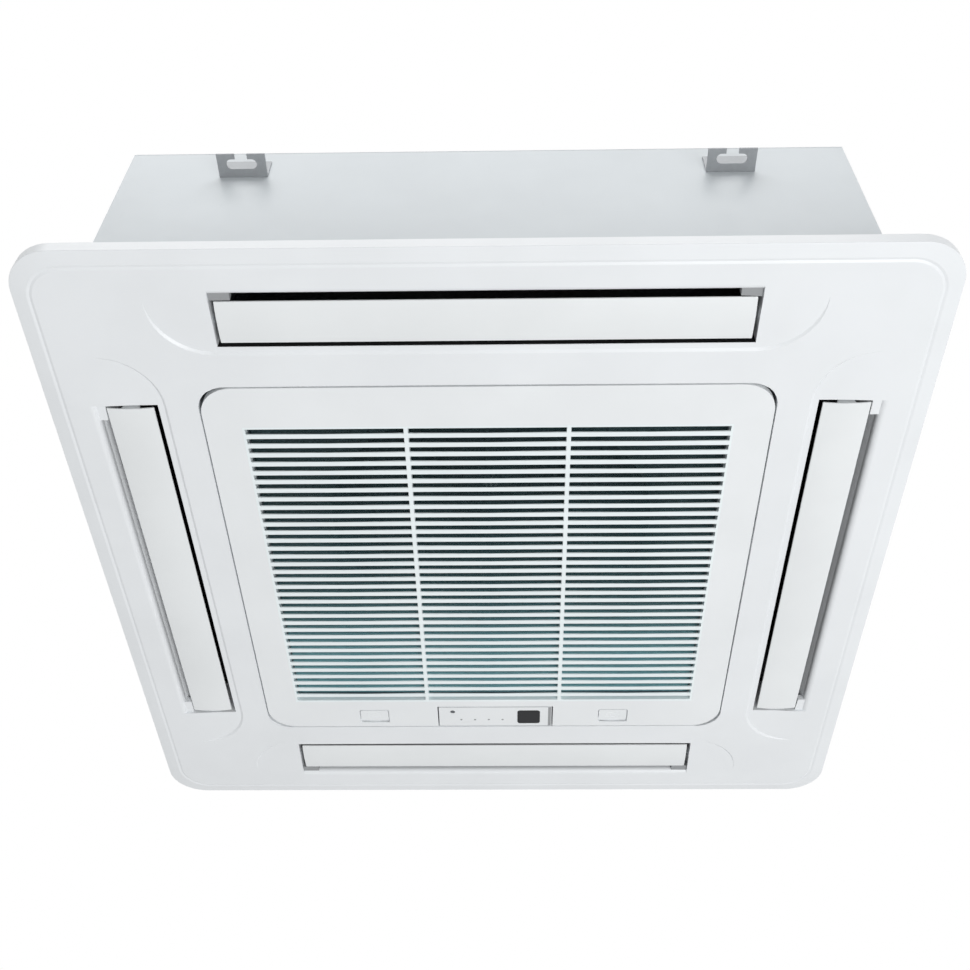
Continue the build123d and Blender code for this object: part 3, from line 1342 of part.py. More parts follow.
def make_fan_wheel():
    """Turbo fan: dished hub plate, swept blades and a flared inlet shroud."""
    dish_bend = HUB_FLOOR - FAN_WALL + DISH_BEND
    plate_low = FAN_TOP - FAN_WALL
    shroud_z = FAN_LIP_Z + FAN_LIP_H
    with BuildPart() as blades:
        with BuildSketch(Plane.XY.offset(FAN_LIP_Z)):
            with BuildLine():
                ThreePointArc(
                    (BLADE_ROOT_R, 0),
                    polar((BLADE_ROOT_R + FAN_R) / 2, -BLADE_SWEEP / 3),
                    polar(FAN_R, -BLADE_SWEEP),
                )
            trace(line_width=BLADE_THICK)
        blade = extrude(amount=FAN_TOP - FAN_LIP_Z, mode=Mode.PRIVATE)
        with PolarLocations(0, BLADE_COUNT):
            add(blade)
        # meridional outline: leading edge from the hub plate down to the shroud
        with BuildSketch(Plane.XZ):
            with BuildLine():
                Polyline(
                    (FAN_R, shroud_z + SHROUD_R),
                    (FAN_R, plate_low + FAN_WALL / 2),
                    (BLADE_ROOT_R, plate_low + FAN_WALL / 2),
                    (BLADE_ROOT_R + BLADE_THICK, plate_low - BLADE_LEAD),
                    (FAN_LIP_R + FAN_WALL / 2, FAN_LIP_Z + FAN_LIP_H / 2),
                    (FAN_LIP_R + FAN_WALL / 2, shroud_z),
                )
                TangentArc(
                    (FAN_LIP_R + FAN_WALL / 2, shroud_z), (FAN_R, shroud_z + SHROUD_R), tangent=(0, 1)
                )
            make_face()
        revolve(axis=Axis.Z, mode=Mode.INTERSECT)
    with BuildPart() as fan:
        # dished hub plate that leaves room for the motor
        with BuildSketch(Plane.XZ):
            with BuildLine():
                floor = Line((SHAFT_R, HUB_FLOOR - FAN_WALL), (HUB_R, HUB_FLOOR - FAN_WALL))
                bend = TangentArc(floor @ 1, (DISH_R, dish_bend), tangent=(1, 0))
                wall = Line(bend @ 1, (DISH_R, plate_low - DISH_TURN))
                turn_out = TangentArc(wall @ 1, (DISH_R + DISH_TURN, plate_low), tangent=(0, 1))
                Polyline(
                    turn_out @ 1,
                    (FAN_R, plate_low),
                    (FAN_R, FAN_TOP),
                    (DISH_R + DISH_TURN, FAN_TOP),
                )
                back = TangentArc(
                    (DISH_R + DISH_TURN, FAN_TOP),
                    (DISH_R - FAN_WALL, plate_low - DISH_TURN),
                    tangent=(-1, 0),
                )
                inner = Line(back @ 1, (DISH_R - FAN_WALL, dish_bend))
                inner_bend = TangentArc(inner @ 1, (HUB_R, HUB_FLOOR), tangent=(0, -1))
                Polyline(inner_bend @ 1, (SHAFT_R, HUB_FLOOR), (SHAFT_R, HUB_FLOOR - FAN_WALL))
            make_face()
        revolve(axis=Axis.Z)
        with BuildSketch(Plane.XY.offset(BOSS_LOW)):
            Circle(BOSS_R)
            Circle(SHAFT_R, mode=Mode.SUBTRACT)
        extrude(amount=HUB_FLOOR - BOSS_LOW)
        # inlet shroud
        with BuildSketch(Plane.XZ):
            with BuildLine():
                Polyline(
                    (FAN_LIP_R, shroud_z),
                    (FAN_LIP_R, FAN_LIP_Z),
                    (FAN_LIP_R + FAN_WALL, FAN_LIP_Z),
                    (FAN_LIP_R + FAN_WALL, shroud_z),
                )
                low = TangentArc(
                    (FAN_LIP_R + FAN_WALL, shroud_z),
                    (FAN_R, shroud_z + FAN_R - FAN_LIP_R - FAN_WALL),
                    tangent=(0, 1),
                )
                rim = Line(low @ 1, (FAN_R, shroud_z + FAN_R - FAN_LIP_R))
                TangentArc((FAN_LIP_R, shroud_z), rim @ 1, tangent=(0, 1))
            make_face()
        revolve(axis=Axis.Z)
        add(blades.part)
    return fan


def make_fan_nut():
    with BuildPart() as nut:
        with BuildSketch(Plane.XY.offset(BOSS_LOW)):
            RegularPolygon(FAN_NUT_AF / 2, 6, major_radius=False)
            Circle(SHAFT_R, mode=Mode.SUBTRACT)
        extrude(amount=-FAN_NUT_H)
    return nut


# ================================================================ drain
def make_drain_pump():
    """Lift pump over the sump: inlet tube, round body, motor and a side spout."""
    with BuildPart() as pump:
        for low, high, radius in (
            (PUMP_INLET_LOW, PUMP_BODY[0], PUMP_INLET_R),
            (*PUMP_BODY, PUMP_BODY_R),
            (PUMP_BODY[1], PUMP_TOP, PUMP_MOTOR_R),
        ):
            with BuildSketch(Plane.XY.offset(low)):
                with Locations((PUMP_XY, PUMP_XY)):
                    Circle(radius)
            extrude(amount=high - low)
        with BuildSketch(at_y(PUMP_XY)):
            with Locations((PUMP_XY, SPOUT_Z)):
                Circle(SPOUT_R)
        extrude(amount=PUMP_XY - SPOUT_END)
    return pump


def make_pump_bracket():
    """Angle plate from the casing's lining that carries the pump and the float."""
    with BuildPart() as bracket:
        with BuildSketch(Plane.XY.offset(PUMP_TOP)):
            with Locations((BRACKET_EDGE, BRACKET_EDGE)):
                Rectangle(FOAM_IN - BRACKET_EDGE, FOAM_IN - WALL_FOAM - BRACKET_EDGE, align=Align.MIN)
        extrude(amount=BRACKET_THICK)
        with BuildSketch(Plane.XY.offset(PUMP_TOP)):
            with Locations((FOAM_IN, BRACKET_EDGE)):
                Rectangle(
                    BRACKET_THICK,
                    FOAM_IN - WALL_FOAM - BRACKET_EDGE,
                    align=(Align.MAX, Align.MIN),
                )
        extrude(amount=BRACKET_UP)
    return bracket


def make_float_switch():
    with BuildPart() as switch:
        with BuildSketch(Plane.XY.offset(FLOAT_Z[0])):
            with Locations((FLOAT_X, FLOAT_Y)):
                Circle(FLOAT_R)
        extrude(amount=FLOAT_Z[1] - FLOAT_Z[0])
        with BuildSketch(Plane.XY.offset(FLOAT_Z[0])):
            with Locations((FLOAT_X, FLOAT_Y)):
                Circle(FLOAT_STEM_R)
        extrude(amount=PUMP_TOP - FLOAT_Z[0])
    return switch


def make_drain_hose():
    """Hose from the pump's spout up to the outlet, with one bend in each plane."""
    with BuildPart() as hose:
        with BuildLine():
            route = FilletPolyline(
                (PUMP_XY, SPOUT_END + SPOUT_LAP, SPOUT_Z),
                (PUMP_XY, DRAIN_Y, SPOUT_Z),
                (PUMP_XY, DRAIN_Y, DRAIN_Z),
                (DRAIN_START + DRAIN_LAP, DRAIN_Y, DRAIN_Z),
                radius=HOSE_BEND,
            )
        with BuildSketch(Plane(route @ 0, z_dir=route % 0)):
            Circle(HOSE_R)
            Circle(HOSE_R - HOSE_WALL, mode=Mode.SUBTRACT)
        sweep()
    return hose


def make_drain_outlet():
    """Plastic socket through the casing wall, with a flange outside."""
    with BuildPart() as outlet:
        with BuildSketch(at_x(DRAIN_START)):
            with Locations((DRAIN_Y, DRAIN_Z)):
                Circle(DRAIN_R)
        extrude(amount=DRAIN_END - DRAIN_START)
        with BuildSketch(at_x(CASING_HALF)):
            with Locations((DRAIN_Y, DRAIN_Z)):
                Circle(DRAIN_FLANGE_R)
        extrude(amount=DRAIN_FLANGE)
        with BuildSketch(at_x(DRAIN_END)):
            with Locations((DRAIN_Y, DRAIN_Z)):
                Circle(DRAIN_R - DRAIN_WALL)
        extrude(amount=-(DRAIN_END - DRAIN_START - DRAIN_LAP), mode=Mode.SUBTRACT)
        with BuildSketch(at_x(DRAIN_START)):
            with Locations((DRAIN_Y, DRAIN_Z)):
                Circle(HOSE_R)
        extrude(amount=DRAIN_LAP, mode=Mode.SUBTRACT)
    return outlet


# ================================================================ electrics
def make_control_box():
    """Folded box under the bell mouth plate, open below."""
    with BuildPart() as box:
        with BuildSketch(Plane.XY.offset(BOX_LOW)):
            with Locations((0, BOX_Y)):
                Rectangle(BOX_SIZE[0], BOX_SIZE[1])
        extrude(amount=BOX_SIZE[2])
        with BuildSketch(Plane.XY.offset(BOX_LOW)):
            with Locations((0, BOX_Y)):
                Rectangle(BOX_SIZE[0] - 2 * BOX_SHEET, BOX_SIZE[1] - 2 * BOX_SHEET)
        extrude(amount=BOX_SIZE[2] - BOX_SHEET, mode=Mode.SUBTRACT)
    return box


def make_control_lid():
    """Flat lid with a skirt round the box."""
    with BuildPart() as lid:
        with BuildSketch(Plane.XY.offset(BOX_LOW - BOX_SHEET)):
            with Locations((0, BOX_Y)):
                Rectangle(BOX_SIZE[0] + 2 * BOX_SHEET, BOX_SIZE[1] + 2 * BOX_SHEET)
        extrude(amount=BOX_SHEET + LID_SKIRT)
        with BuildSketch(Plane.XY.offset(BOX_LOW)):
            with Locations((0, BOX_Y)):
                Rectangle(BOX_SIZE[0], BOX_SIZE[1])
        extrude(amount=LID_SKIRT, mode=Mode.SUBTRACT)
    return lid


def make_control_board():
    """Circuit board on spacers under the box's roof, with a relay and a capacitor."""
    roof = BELL_LOW - BOX_SHEET
    with BuildPart() as board:
        with BuildSketch(Plane.XY.offset(roof - CARD_DROP)):
            with Locations((CARD_X, BOX_Y)):
                Rectangle(*CARD_SIZE)
        extrude(amount=-BOARD_THICK)
        with BuildSketch(Plane.XY.offset(roof)):
            with Locations((CARD_X, BOX_Y)):
                with GridLocations(CARD_SIZE[0] - CARD_DROP * 2, CARD_SIZE[1] - CARD_DROP * 2, 2, 2):
                    Circle(CARD_DROP / 2)
        extrude(amount=-CARD_DROP)
        with BuildSketch(Plane.XY.offset(roof - CARD_DROP - BOARD_THICK)):
            with Locations((CARD_X, BOX_Y)):
                with GridLocations(RELAY_PITCH, 0, 3, 1):
                    Rectangle(*RELAY_SIZE)
        extrude(amount=-RELAY_DROP)
    return board


def make_terminal_block():
    roof = BELL_LOW - BOX_SHEET
    with BuildPart() as block:
        with BuildSketch(Plane.XY.offset(roof)):
            with Locations((TERMINAL_X, BOX_Y)):
                Rectangle(TERMINAL_SIZE[0], TERMINAL_SIZE[1])
        extrude(amount=-TERMINAL_SIZE[2])
        with BuildSketch(Plane.XY.offset(roof - TERMINAL_SIZE[2])):
            with Locations((TERMINAL_X, BOX_Y)):
                with GridLocations(TERMINAL_SIZE[0] / TERMINAL_WAYS, 0, TERMINAL_WAYS, 1):
                    Rectangle(TERMINAL_CELL, TERMINAL_SIZE[1] - TERMINAL_CELL)
        extrude(amount=TERMINAL_CELL, mode=Mode.SUBTRACT)
    return block


def main():
    keep(make_casing_top(), "casing_top")
    for side in SIDES:
        keep(make_casing_side(side), f"casing_side_{side}")
    keep(make_casing_insulation(), "casing_insulation")
    for side, hand in (("near", -1), ("far", 1)):
        keep(make_hanger(-HANGER_PITCH_X / 2, hand), f"hanger_{side}_left")
        keep(make_hanger(HANGER_PITCH_X / 2, hand), f"hanger_{side}_right")
    keep(make_pipe_cover(), "pipe_cover")
    keep(make_cable_grommet(), "cable_grommet")

    keep(make_drain_pan(), "drain_pan")
    keep(make_bell_mouth(), "bell_mouth")
    keep(make_coil_fins(), "coil_fins")
    keep(make_coil_end_plates(), "coil_end_plates")
    keep(make_coil_bends(), "coil_bends")
    arm = COIL_OUT - COIL_THICK / 2
    face = COIL_OPEN + END_PLATE
    gas_feed = ((-face, arm), (GAS_X, arm), (GAS_X, HEADER_OUT))
    liquid_feed = ((-arm, face), (-arm, -GAS_X), (LIQUID_X, -GAS_X))
    keep(make_pipe(*gas_feed, GAS_Z, GAS_R, GAS_BORE_R), "gas_pipe")
    keep(make_pipe(*liquid_feed, LIQUID_Z, LIQUID_R, LIQUID_BORE_R), "liquid_pipe")
    keep(make_union(GAS_X, GAS_Z, GAS_R, GAS_BORE_R, GAS_UNION_AF, GAS_THREAD_R), "gas_union")
    keep(
        make_union(LIQUID_X, LIQUID_Z, LIQUID_R, LIQUID_BORE_R, LIQUID_UNION_AF, LIQUID_THREAD_R),
        "liquid_union",
    )

    keep(make_fan_motor(), "fan_motor")
    keep(make_motor_shaft(), "motor_shaft")
    keep(make_motor_dampers(), "motor_dampers")
    keep(make_motor_studs(), "motor_studs")
    keep(make_fan_wheel(), "fan_wheel")
    keep(make_fan_nut(), "fan_nut")

    keep(make_drain_pump(), "drain_pump")
    keep(make_pump_bracket(), "pump_bracket")
    keep(make_float_switch(), "float_switch")
    keep(make_drain_hose(), "drain_hose")
    keep(make_drain_outlet(), "drain_outlet")

    keep(make_control_box(), "control_box")
    keep(make_control_lid(), "control_lid")
    keep(make_control_board(), "control_board")
    keep(make_terminal_block(), "terminal_block")

    keep(make_panel_frame(), "panel_frame")
    keep(make_panel_seal(), "panel_seal")
    keep(make_panel_bolts(), "panel_bolts")
    for side, turn in SIDES.items():
        keep(make_louvre(turn), f"louvre_{side}")
        keep(make_louvre_stepper(turn), f"louvre_stepper_{side}")
    keep(make_louvre_bearings(), "louvre_bearings")

    keep(make_intake_grille(), "intake_grille")
    keep(make_hinge_pins(), "hinge_pins")
    keep(make_latch(-LATCH_X), "latch_left")
    keep(make_latch(LATCH_X), "latch_right")
    keep(make_filter_frame(), "filter_frame")
    keep(make_filter_net(), "filter_net")

    keep(make_strip_cover(), "strip_cover")
    keep(make_strip_board(), "strip_board")
    keep(make_infrared_window(), "infrared_window")
    keep(make_indicator_lights(), "indicator_lights")
    keep(make_push_button(), "push_button")


main()
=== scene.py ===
"""Ceiling cassette air conditioner: its finishes, its small parts and the room it hangs in.

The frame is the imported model.  Lengths are in metres, +Z is up, and the origin
is the centre of the decorative panel's lower face.
"""

import json
from math import asin, cos, pi, radians, sin, tau

import bmesh
import bpy
from bpy.props import FloatProperty, FloatVectorProperty, PointerProperty
from bpy.types import Operator, Panel, PropertyGroup
from mathutils import Matrix, Vector

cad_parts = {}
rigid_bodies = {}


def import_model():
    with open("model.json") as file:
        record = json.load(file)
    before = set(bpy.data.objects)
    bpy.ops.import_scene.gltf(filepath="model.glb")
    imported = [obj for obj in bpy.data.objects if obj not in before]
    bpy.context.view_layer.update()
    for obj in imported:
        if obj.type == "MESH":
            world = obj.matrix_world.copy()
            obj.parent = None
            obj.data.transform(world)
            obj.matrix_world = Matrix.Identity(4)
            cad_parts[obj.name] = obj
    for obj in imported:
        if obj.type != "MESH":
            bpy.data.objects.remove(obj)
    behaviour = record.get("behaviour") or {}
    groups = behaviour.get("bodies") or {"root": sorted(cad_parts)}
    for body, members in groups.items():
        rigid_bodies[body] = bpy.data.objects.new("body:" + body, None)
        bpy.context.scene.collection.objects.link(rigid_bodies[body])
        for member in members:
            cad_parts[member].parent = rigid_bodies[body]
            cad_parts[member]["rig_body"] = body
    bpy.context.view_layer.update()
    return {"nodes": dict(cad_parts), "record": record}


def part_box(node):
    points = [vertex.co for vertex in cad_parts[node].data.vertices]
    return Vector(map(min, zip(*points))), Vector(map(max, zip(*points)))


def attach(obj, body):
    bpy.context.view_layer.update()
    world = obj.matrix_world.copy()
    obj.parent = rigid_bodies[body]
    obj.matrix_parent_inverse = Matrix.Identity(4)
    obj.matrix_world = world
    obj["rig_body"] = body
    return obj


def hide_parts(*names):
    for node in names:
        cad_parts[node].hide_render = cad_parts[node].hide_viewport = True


bl_info = {
    "name": "Ceiling Cassette",
    "version": (1, 0, 0),
    "blender": (4, 5, 0),
    "location": "View3D > Sidebar > Cassette",
    "description": "Dresses the packed ceiling cassette and sets the room round it",
    "category": "Add Mesh",
}

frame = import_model()

FINISH_PREFIX = "cassette_"  # the frame has plain materials under the slots' own names
SIDES = ("near", "right", "far", "left")
UP = (0, 0, 1)
WHITE = (1, 1, 1, 1)

# how near two places are to count as one
ON_PLANE = 1e-6
MERGE = 1e-5
NEAR = 1e-4
ON_LINE = 2e-4

# turns in degrees: edges that turn by more are rounded, or break the shading
LINE_TURN = 3
SHEET_TURN = 25
PART_TURN = 32
MOULD_TURN = 38
FOAM_TURN = 50
PANEL_SHARP = 12
SHARP = 40
FLAT = 0.05  # faces that turn by less are one

# faces across a rounded edge and round small and large turned parts
EDGE_FACES = 2
SMALL_ROUND = 20
LARGE_ROUND = 32
RING_ROUND = 48

# rounding of the edges that no setting changes
THIN_EDGE = 0.0003
SMALL_EDGE = 0.0004
PART_EDGE = 0.0005
THICK_EDGE = 0.0006
SOFT_EDGE = 0.0008
FOAM_EDGE = 0.001

# places on the panel
RIM_WIDTH = 0.0185  # its sloping rim
RIM_CORNER = 0.039  # corner radius of the line inside the rim
RIM_LINE_DEPTH = 0.17  # depth of that line as a share of its width
GROOVE_HIGH = 4e-4  # the middle of that line lies this near the face
GROOVE_NEAR = 3e-4  # and this near the line
WALL_RISE = 0.0012  # an upright edge that rises more belongs to a wall
EDGE_TOP = 0.0185  # just over the panel's outer edge
GRILLE_REACH = 0.330  # between the grille's opening and the outlets
OUTLET_IN = 0.3555
OUTLET_OUT = 0.422
OUTLET_HALF = 0.278
LIP_HIGH = 0.010  # top of the upright part of an outlet's outer wall
LIP_STEPS = 9
RELIEF_EDGE = 0.349  # inner edge of the shallow relief beside an outlet
RELIEF_R = 0.066  # its round ends
RELIEF_FADE = 0.8  # share of its slope that is left half way round an end
UPRIGHT = 0.01  # a face whose normal rises less is upright
DUCT_AREA = 1e-4  # smallest face of a duct's wall
SHELF_IN = 0.4136  # shelf at each end of an outlet's outer gap
SHELF_ALONG = 0.2555
SHELF_LOW = 0.001
SHELF_HIGH = 0.012

# places on the grille
FIELD_Y = 0.0035  # middle of its slotted field
FIELD_ROWS = 36
FIELD_PITCH = 0.01386
FIELD_HALF = 0.2515  # just over half the field's length
COLUMN_PITCH = 0.179
SLAT_FOOT = 0.0006  # the slats are made lower above this
SLAT_SHARE = 0.4  # share of their depth above it that is kept
SLAT_BACK = 0.0035  # just under their backs
SLAT_TOP = 0.0045  # just over their backs
WHITE_IN = 0.001  # the slats' white, tinted by painted teal light bounced from the filter, stops this far inside the field
WHITE_HALF = 0.2485
WHITE_TOP = 0.006

# small parts of the receiver strip, the boards and the motors
BAR = (0.0048, 0.0008)  # grey bar on the strip, in from its end
STRIP_PARTS_X = (-0.045, -0.03, -0.012, 0.008, 0.027)
STRIP_PARTS_Y = 0.281
STRIP_SINK = 0.0002
STRIP_PART = (0.004, 0.003, 0.0012)
BOARD_PARTS = 9
BOARD_PITCH = 0.021
BOARD_START = (0.02, 0.007, -0.0024)  # from the board's low corner and its top
BOARD_PART = (0.006, 0.005, 0.003)
PART_GROWTH = 0.002  # a part is wider than the one before by this
CAN_LID = (0.0085, 0.0008)  # radius and height
CAN_LID_OUT = 0.00985
CAN_PLUG = (0.008, 0.008, 0.003)
CAN_PLUG_UP = 0.0105
NET_SHARE = 0.5  # share of the net's thickness that is drawn

# small parts of the casing
BEAD_HIGH = 0.003  # the top sheet's beads stand this high
TOP_SCREWS_ALONG = (-0.3, -0.1, 0.1, 0.3)
TOP_SCREWS_IN = 0.012
SIDE_SCREWS_UP = (0.075, 0.175, 0.275)
SIDE_SCREWS_IN = 0.014
PIPES_UP = (0.1, 0.25)  # heights that the pipe cover takes up
COVER_SCREWS_IN = 0.006
LID_SCREWS_IN = (0.012, 0.008)
LID_SCREW = 0.8  # head of a lid screw as a share of a sheet screw's
KNOCKOUT = (0.016, 0.0005)  # radius and height
KNOCKOUT_ALONG = 0.2
KNOCKOUT_UP = 0.24
RIVET = (0.0042, 0.0016)  # radius and height
RIVET_EDGE = 0.0009
RIVET_IN = 0.013
RIVET_ALONG = 0.016
RIVET_UP = 0.012
BARBS_IN = (0.012, 0.024)  # rings on the drain outlet, in from its end
BARB = ((-0.0016, 0.0155), (0.0016, 0.0155), (-0.0016, 0.0171))  # along and out

# a cross-head screw, as shares of its head's diameter
HEAD_HIGH = 0.16
HEAD_EDGE = 0.07
LOBE = 0.22
LOBE_HIGH = 0.10
LOBE_UP = 0.17
LOBE_EDGE = 0.03

# the room
FLOOR_REACH = 60.0
FLOOR_CELLS = 8
FLOOR_GLOW = 0.7
SENSOR = 36
KEY_SIZE = (2.2, 2.2)
KEY_PLACE = (1.5, -1.3, -3.2)
TOP_SIZE = (2.0, 0.8)
TOP_PLACE = (-0.15, -1.25, 1.15)
TOP_TARGET = (-0.15, -0.42, 0.2)


# ------------ settings


def colour(name, description, default):
    """A colour that the user may change."""
    return FloatVectorProperty(
        name=name, description=description, default=default, subtype="COLOR", size=3, min=0, max=1
    )


def length(name, description, default):
    """A length in metres that the user may change."""
    return FloatProperty(
        name=name, description=description, default=default, subtype="DISTANCE", unit="LENGTH"
    )


def angle(name, description, degrees):
    """An angle that the user may change."""
    return FloatProperty(
        name=name, description=description, default=radians(degrees), subtype="ANGLE"
    )


def power(name, description, default):
    """A lamp's power in watts that the user may change."""
    return FloatProperty(name=name, description=description, default=default, unit="POWER")


class CassetteColours(PropertyGroup):
    """Colours of the mouldings, sheets and castings."""

    panel: colour("Panel", "White of the decorative panel", (0.80, 0.825, 0.845))
    louvre: colour("Louvres", "White of the four louvres", (0.79, 0.815, 0.825))
    grille: colour("Grille", "White of the intake grille", (0.81, 0.835, 0.85))
    steel: colour("Coated sheet", "Powder coat of the casing", (0.60, 0.640, 0.665))
    # the teal tint of this white is painted light bounced from the filter net
    slats: colour("Slats", "Cool white of the grille's slats", (0.83, 0.895, 0.91))
    # near black: the foam's own dark tone, and painted shade for the unit's dark inside
    pan: colour("Bead foam", "Moulded foam of the drain pan", (0.055, 0.057, 0.06))
    fan: colour("Fan", "Moulded plastic of the fan wheel", (0.05, 0.06, 0.065))
    net: colour("Filter net", "Threads of the filter net", (0.07, 0.15, 0.165))
    copper: colour("Copper", "Clean copper tube", (0.80, 0.42, 0.27))
    brass: colour("Brass", "Machined brass nuts", (0.74, 0.55, 0.27))
    zinc: colour("Zinc", "Zinc coat of the control box and brackets", (0.36, 0.37, 0.385))
    board: colour("Board", "Solder mask of the circuit boards", (0.02, 0.16, 0.07))


class CassetteSizes(PropertyGroup):
    """Sizes of the small forms that the frame leaves out."""

    panel_edge: length("Panel edge", "Rounding of the panel's and the grille's edges", 0.0007)
    rim_line: length("Rim line", "Width of the shallow line inside the panel's rim", 0.0056)
    relief_run: length("Relief run", "How wide the edge of the relief slopes", 0.0032)
    lip_round: length("Lip round", "Rounding of an outlet's outer lip", 0.007)
    slat_edge: length("Slat edge", "Rounding of the slats' lower edges", 0.0005)
    slat_back: length("Slat back", "How far the slats taper away behind", 0.0028)
    louvre_edge: length("Louvre edge", "Rounding of a louvre's edges", 0.0010)
    sheet_edge: length("Sheet edge", "Rounding of the top sheet's folds", 0.0008)
    screw_head: length("Screw head", "Diameter of a sheet screw's head", 0.0085)
    net_pitch: length("Net pitch", "Distance between the filter's threads", 0.0012)
    bead: length("Foam bead", "Size of a bead in the moulded foam", 0.0035)
    fin_pitch: length("Fin pitch", "Distance between the coil's fins", 0.0018)


class CassetteRoom(PropertyGroup):
    """The camera and the lamps."""

    place: FloatVectorProperty(
        name="Camera", description="Where the camera stands", default=(0.0202, -1.1017, -0.9733),
        subtype="TRANSLATION", unit="LENGTH",
    )
    pitch: angle("Pitch", "How far the camera looks up", 49.92)
    yaw: angle("Yaw", "How far the camera looks to the right", -1.54)
    roll: angle("Roll", "How far the camera leans", 0.72)
    lens: FloatProperty(name="Lens", description="Focal length in mm", default=44.10)
    shift: FloatProperty(name="Shift", description="Vertical lens shift", default=-0.0876)
    world: FloatProperty(
        name="World", description="Strength of the white surroundings", default=0.48
    )
    key: power("Key", "Power of the large lamp in front and below", 89.0)
    fill: power("Fill", "Power of each of the two lamps above", 12.5)
    floor: length("Floor", "Height of the floor, from the panel's lower face", -4.4)


# ------------ materials


class Value:
    """A number that varies over a surface, for use in Python expressions."""

    def __init__(self, tree, socket):
        self.tree = tree
        self.socket = socket

    def math(self, operation, *others):
        """The Math node that takes this value first."""
        inputs = dict(enumerate((self, *others)))
        made = self.tree.node("ShaderNodeMath", {"operation": operation}, inputs)
        return Value(self.tree, made.outputs[0])

    def __add__(self, other):
        return self.math("ADD", other)

    __radd__ = __add__

    def __mul__(self, other):
        return self.math("MULTIPLY", other)

    __rmul__ = __mul__

    def __rsub__(self, other):
        return self.math("MULTIPLY", -1.0) + other

    def __gt__(self, other):
        return self.math("GREATER_THAN", other)

    def __lt__(self, other):
        return self.math("LESS_THAN", other)

    def __abs__(self):
        return self.math("ABSOLUTE")

    def sine(self, pitch):
        """A wave from -1 to 1 that repeats every pitch."""
        return (self * (tau / pitch)).math("SINE")

    def ramp(self, low, high, to_low=0.0, to_high=1.0):
        """This value from low to high, mapped smoothly to the second range."""
        made = self.tree.node(
            "ShaderNodeMapRange",
            {"interpolation_type": "SMOOTHSTEP"},
            {"Value": self, "From Min": low, "From Max": high, "To Min": to_low, "To Max": to_high},
        )
        return Value(self.tree, made.outputs["Result"])


class Tree:
    """Adds nodes to the emptied node tree of a material or a world."""

    def __init__(self, owner):
        owner.use_nodes = True
        self.nodes = owner.node_tree.nodes
        self.links = owner.node_tree.links
        self.nodes.clear()

    def node(self, kind, settings=None, inputs=None):
        """A node of that kind, with its settings set before its sockets."""
        made = self.nodes.new(kind)
        for key, value in (settings or {}).items():
            setattr(made, key, value)
        for key, value in (inputs or {}).items():
            value = value.socket if isinstance(value, Value) else value
            if isinstance(value, bpy.types.NodeSocket):
                self.links.new(value, made.inputs[key])
            else:
                made.inputs[key].default_value = value
        return made

    def seen_by(self, *kinds):
        """1 for a ray of any of those kinds and 0 for the others."""
        path = self.node("ShaderNodeLightPath").outputs
        seen = Value(self, path[f"Is {kinds[0]} Ray"])
        for kind in kinds[1:]:
            seen = seen.math("MAXIMUM", Value(self, path[f"Is {kind} Ray"]))
        return seen


class Finish(Tree):
    """A material being built, with the nodes that its recipe asks for."""

    def __init__(self, name):
        self.material = bpy.data.materials.new(FINISH_PREFIX + name)
        super().__init__(self.material)
        self.surface = self.node("ShaderNodeBsdfPrincipled")
        self.shader = self.surface.outputs["BSDF"]
        self.output = self.node("ShaderNodeOutputMaterial", {}, {"Surface": self.shader})
        self.place = self.node("ShaderNodeTexCoord").outputs["Object"]
        self.x, self.y, self.z = self.split(self.place)

    def split(self, vector):
        """The three parts of a vector."""
        made = self.node("ShaderNodeSeparateXYZ", {}, {"Vector": vector})
        return [Value(self, made.outputs[axis]) for axis in "XYZ"]

    def noise(self, size, detail=2.0, stretch=None):
        """Soft noise from 0 to 1 whose features are about that size, in metres."""
        place = self.place
        if stretch:
            inputs = {"Vector": place, "Scale": stretch}
            place = self.node("ShaderNodeMapping", {}, inputs).outputs[0]
        made = self.node(
            "ShaderNodeTexNoise",
            {},
            {"Vector": place, "Scale": 1 / size, "Detail": detail, "Roughness": 0.55},
        )
        return Value(self, made.outputs["Fac"])

    def cells(self, size, feature="F1", **inputs):
        """The outputs of a pattern of cells of about that size, in metres."""
        inputs.update(Vector=self.place, Scale=1 / size)
        return self.node("ShaderNodeTexVoronoi", {"feature": feature}, inputs).outputs

    def depths(self, size, feature="F1", **inputs):
        """Distance into each cell of a pattern."""
        return Value(self, self.cells(size, feature, **inputs)["Distance"])

    def cell_tones(self, size):
        """A number from 0 to 1 for each cell of a pattern."""
        colours = {"Color": self.cells(size)["Color"]}
        return Value(self, self.node("ShaderNodeSeparateColor", {}, colours).outputs[0])

    def faced(self):
        """How far the surface faces each axis, without sign."""
        normal = self.node("ShaderNodeNewGeometry").outputs["Normal"]
        return [abs(part) for part in self.split(normal)]

    def mix(self, factor, low, high):
        """The colour low where factor is 0 and high where it is 1."""
        low = low if isinstance(low, bpy.types.NodeSocket) else (*low, 1)
        high = high if isinstance(high, bpy.types.NodeSocket) else (*high, 1)
        made = self.node("ShaderNodeMix", {"data_type": "RGBA"}, {0: factor, 6: low, 7: high})
        return made.outputs[2]

    def bump(self, height, distance, strength=1.0):
        """Raises the surface by height times distance, in metres."""
        inputs = {"Height": height, "Distance": distance, "Strength": strength}
        self.set(Normal=self.node("ShaderNodeBump", {}, inputs).outputs["Normal"])

    def set(self, **sockets):
        """Sets or links sockets of the surface shader, named with _ for a space."""
        for key, value in sockets.items():
            socket = self.surface.inputs[key.replace("_", " ")]
            value = value.socket if isinstance(value, Value) else value
            if isinstance(value, bpy.types.NodeSocket):
                self.links.new(value, socket)
            elif socket.type == "RGBA":
                socket.default_value = (*value, 1)
            else:
                socket.default_value = value


def shade(tone, by):
    """A colour made darker or lighter."""
    return tuple(min(1.0, part * by) for part in tone)


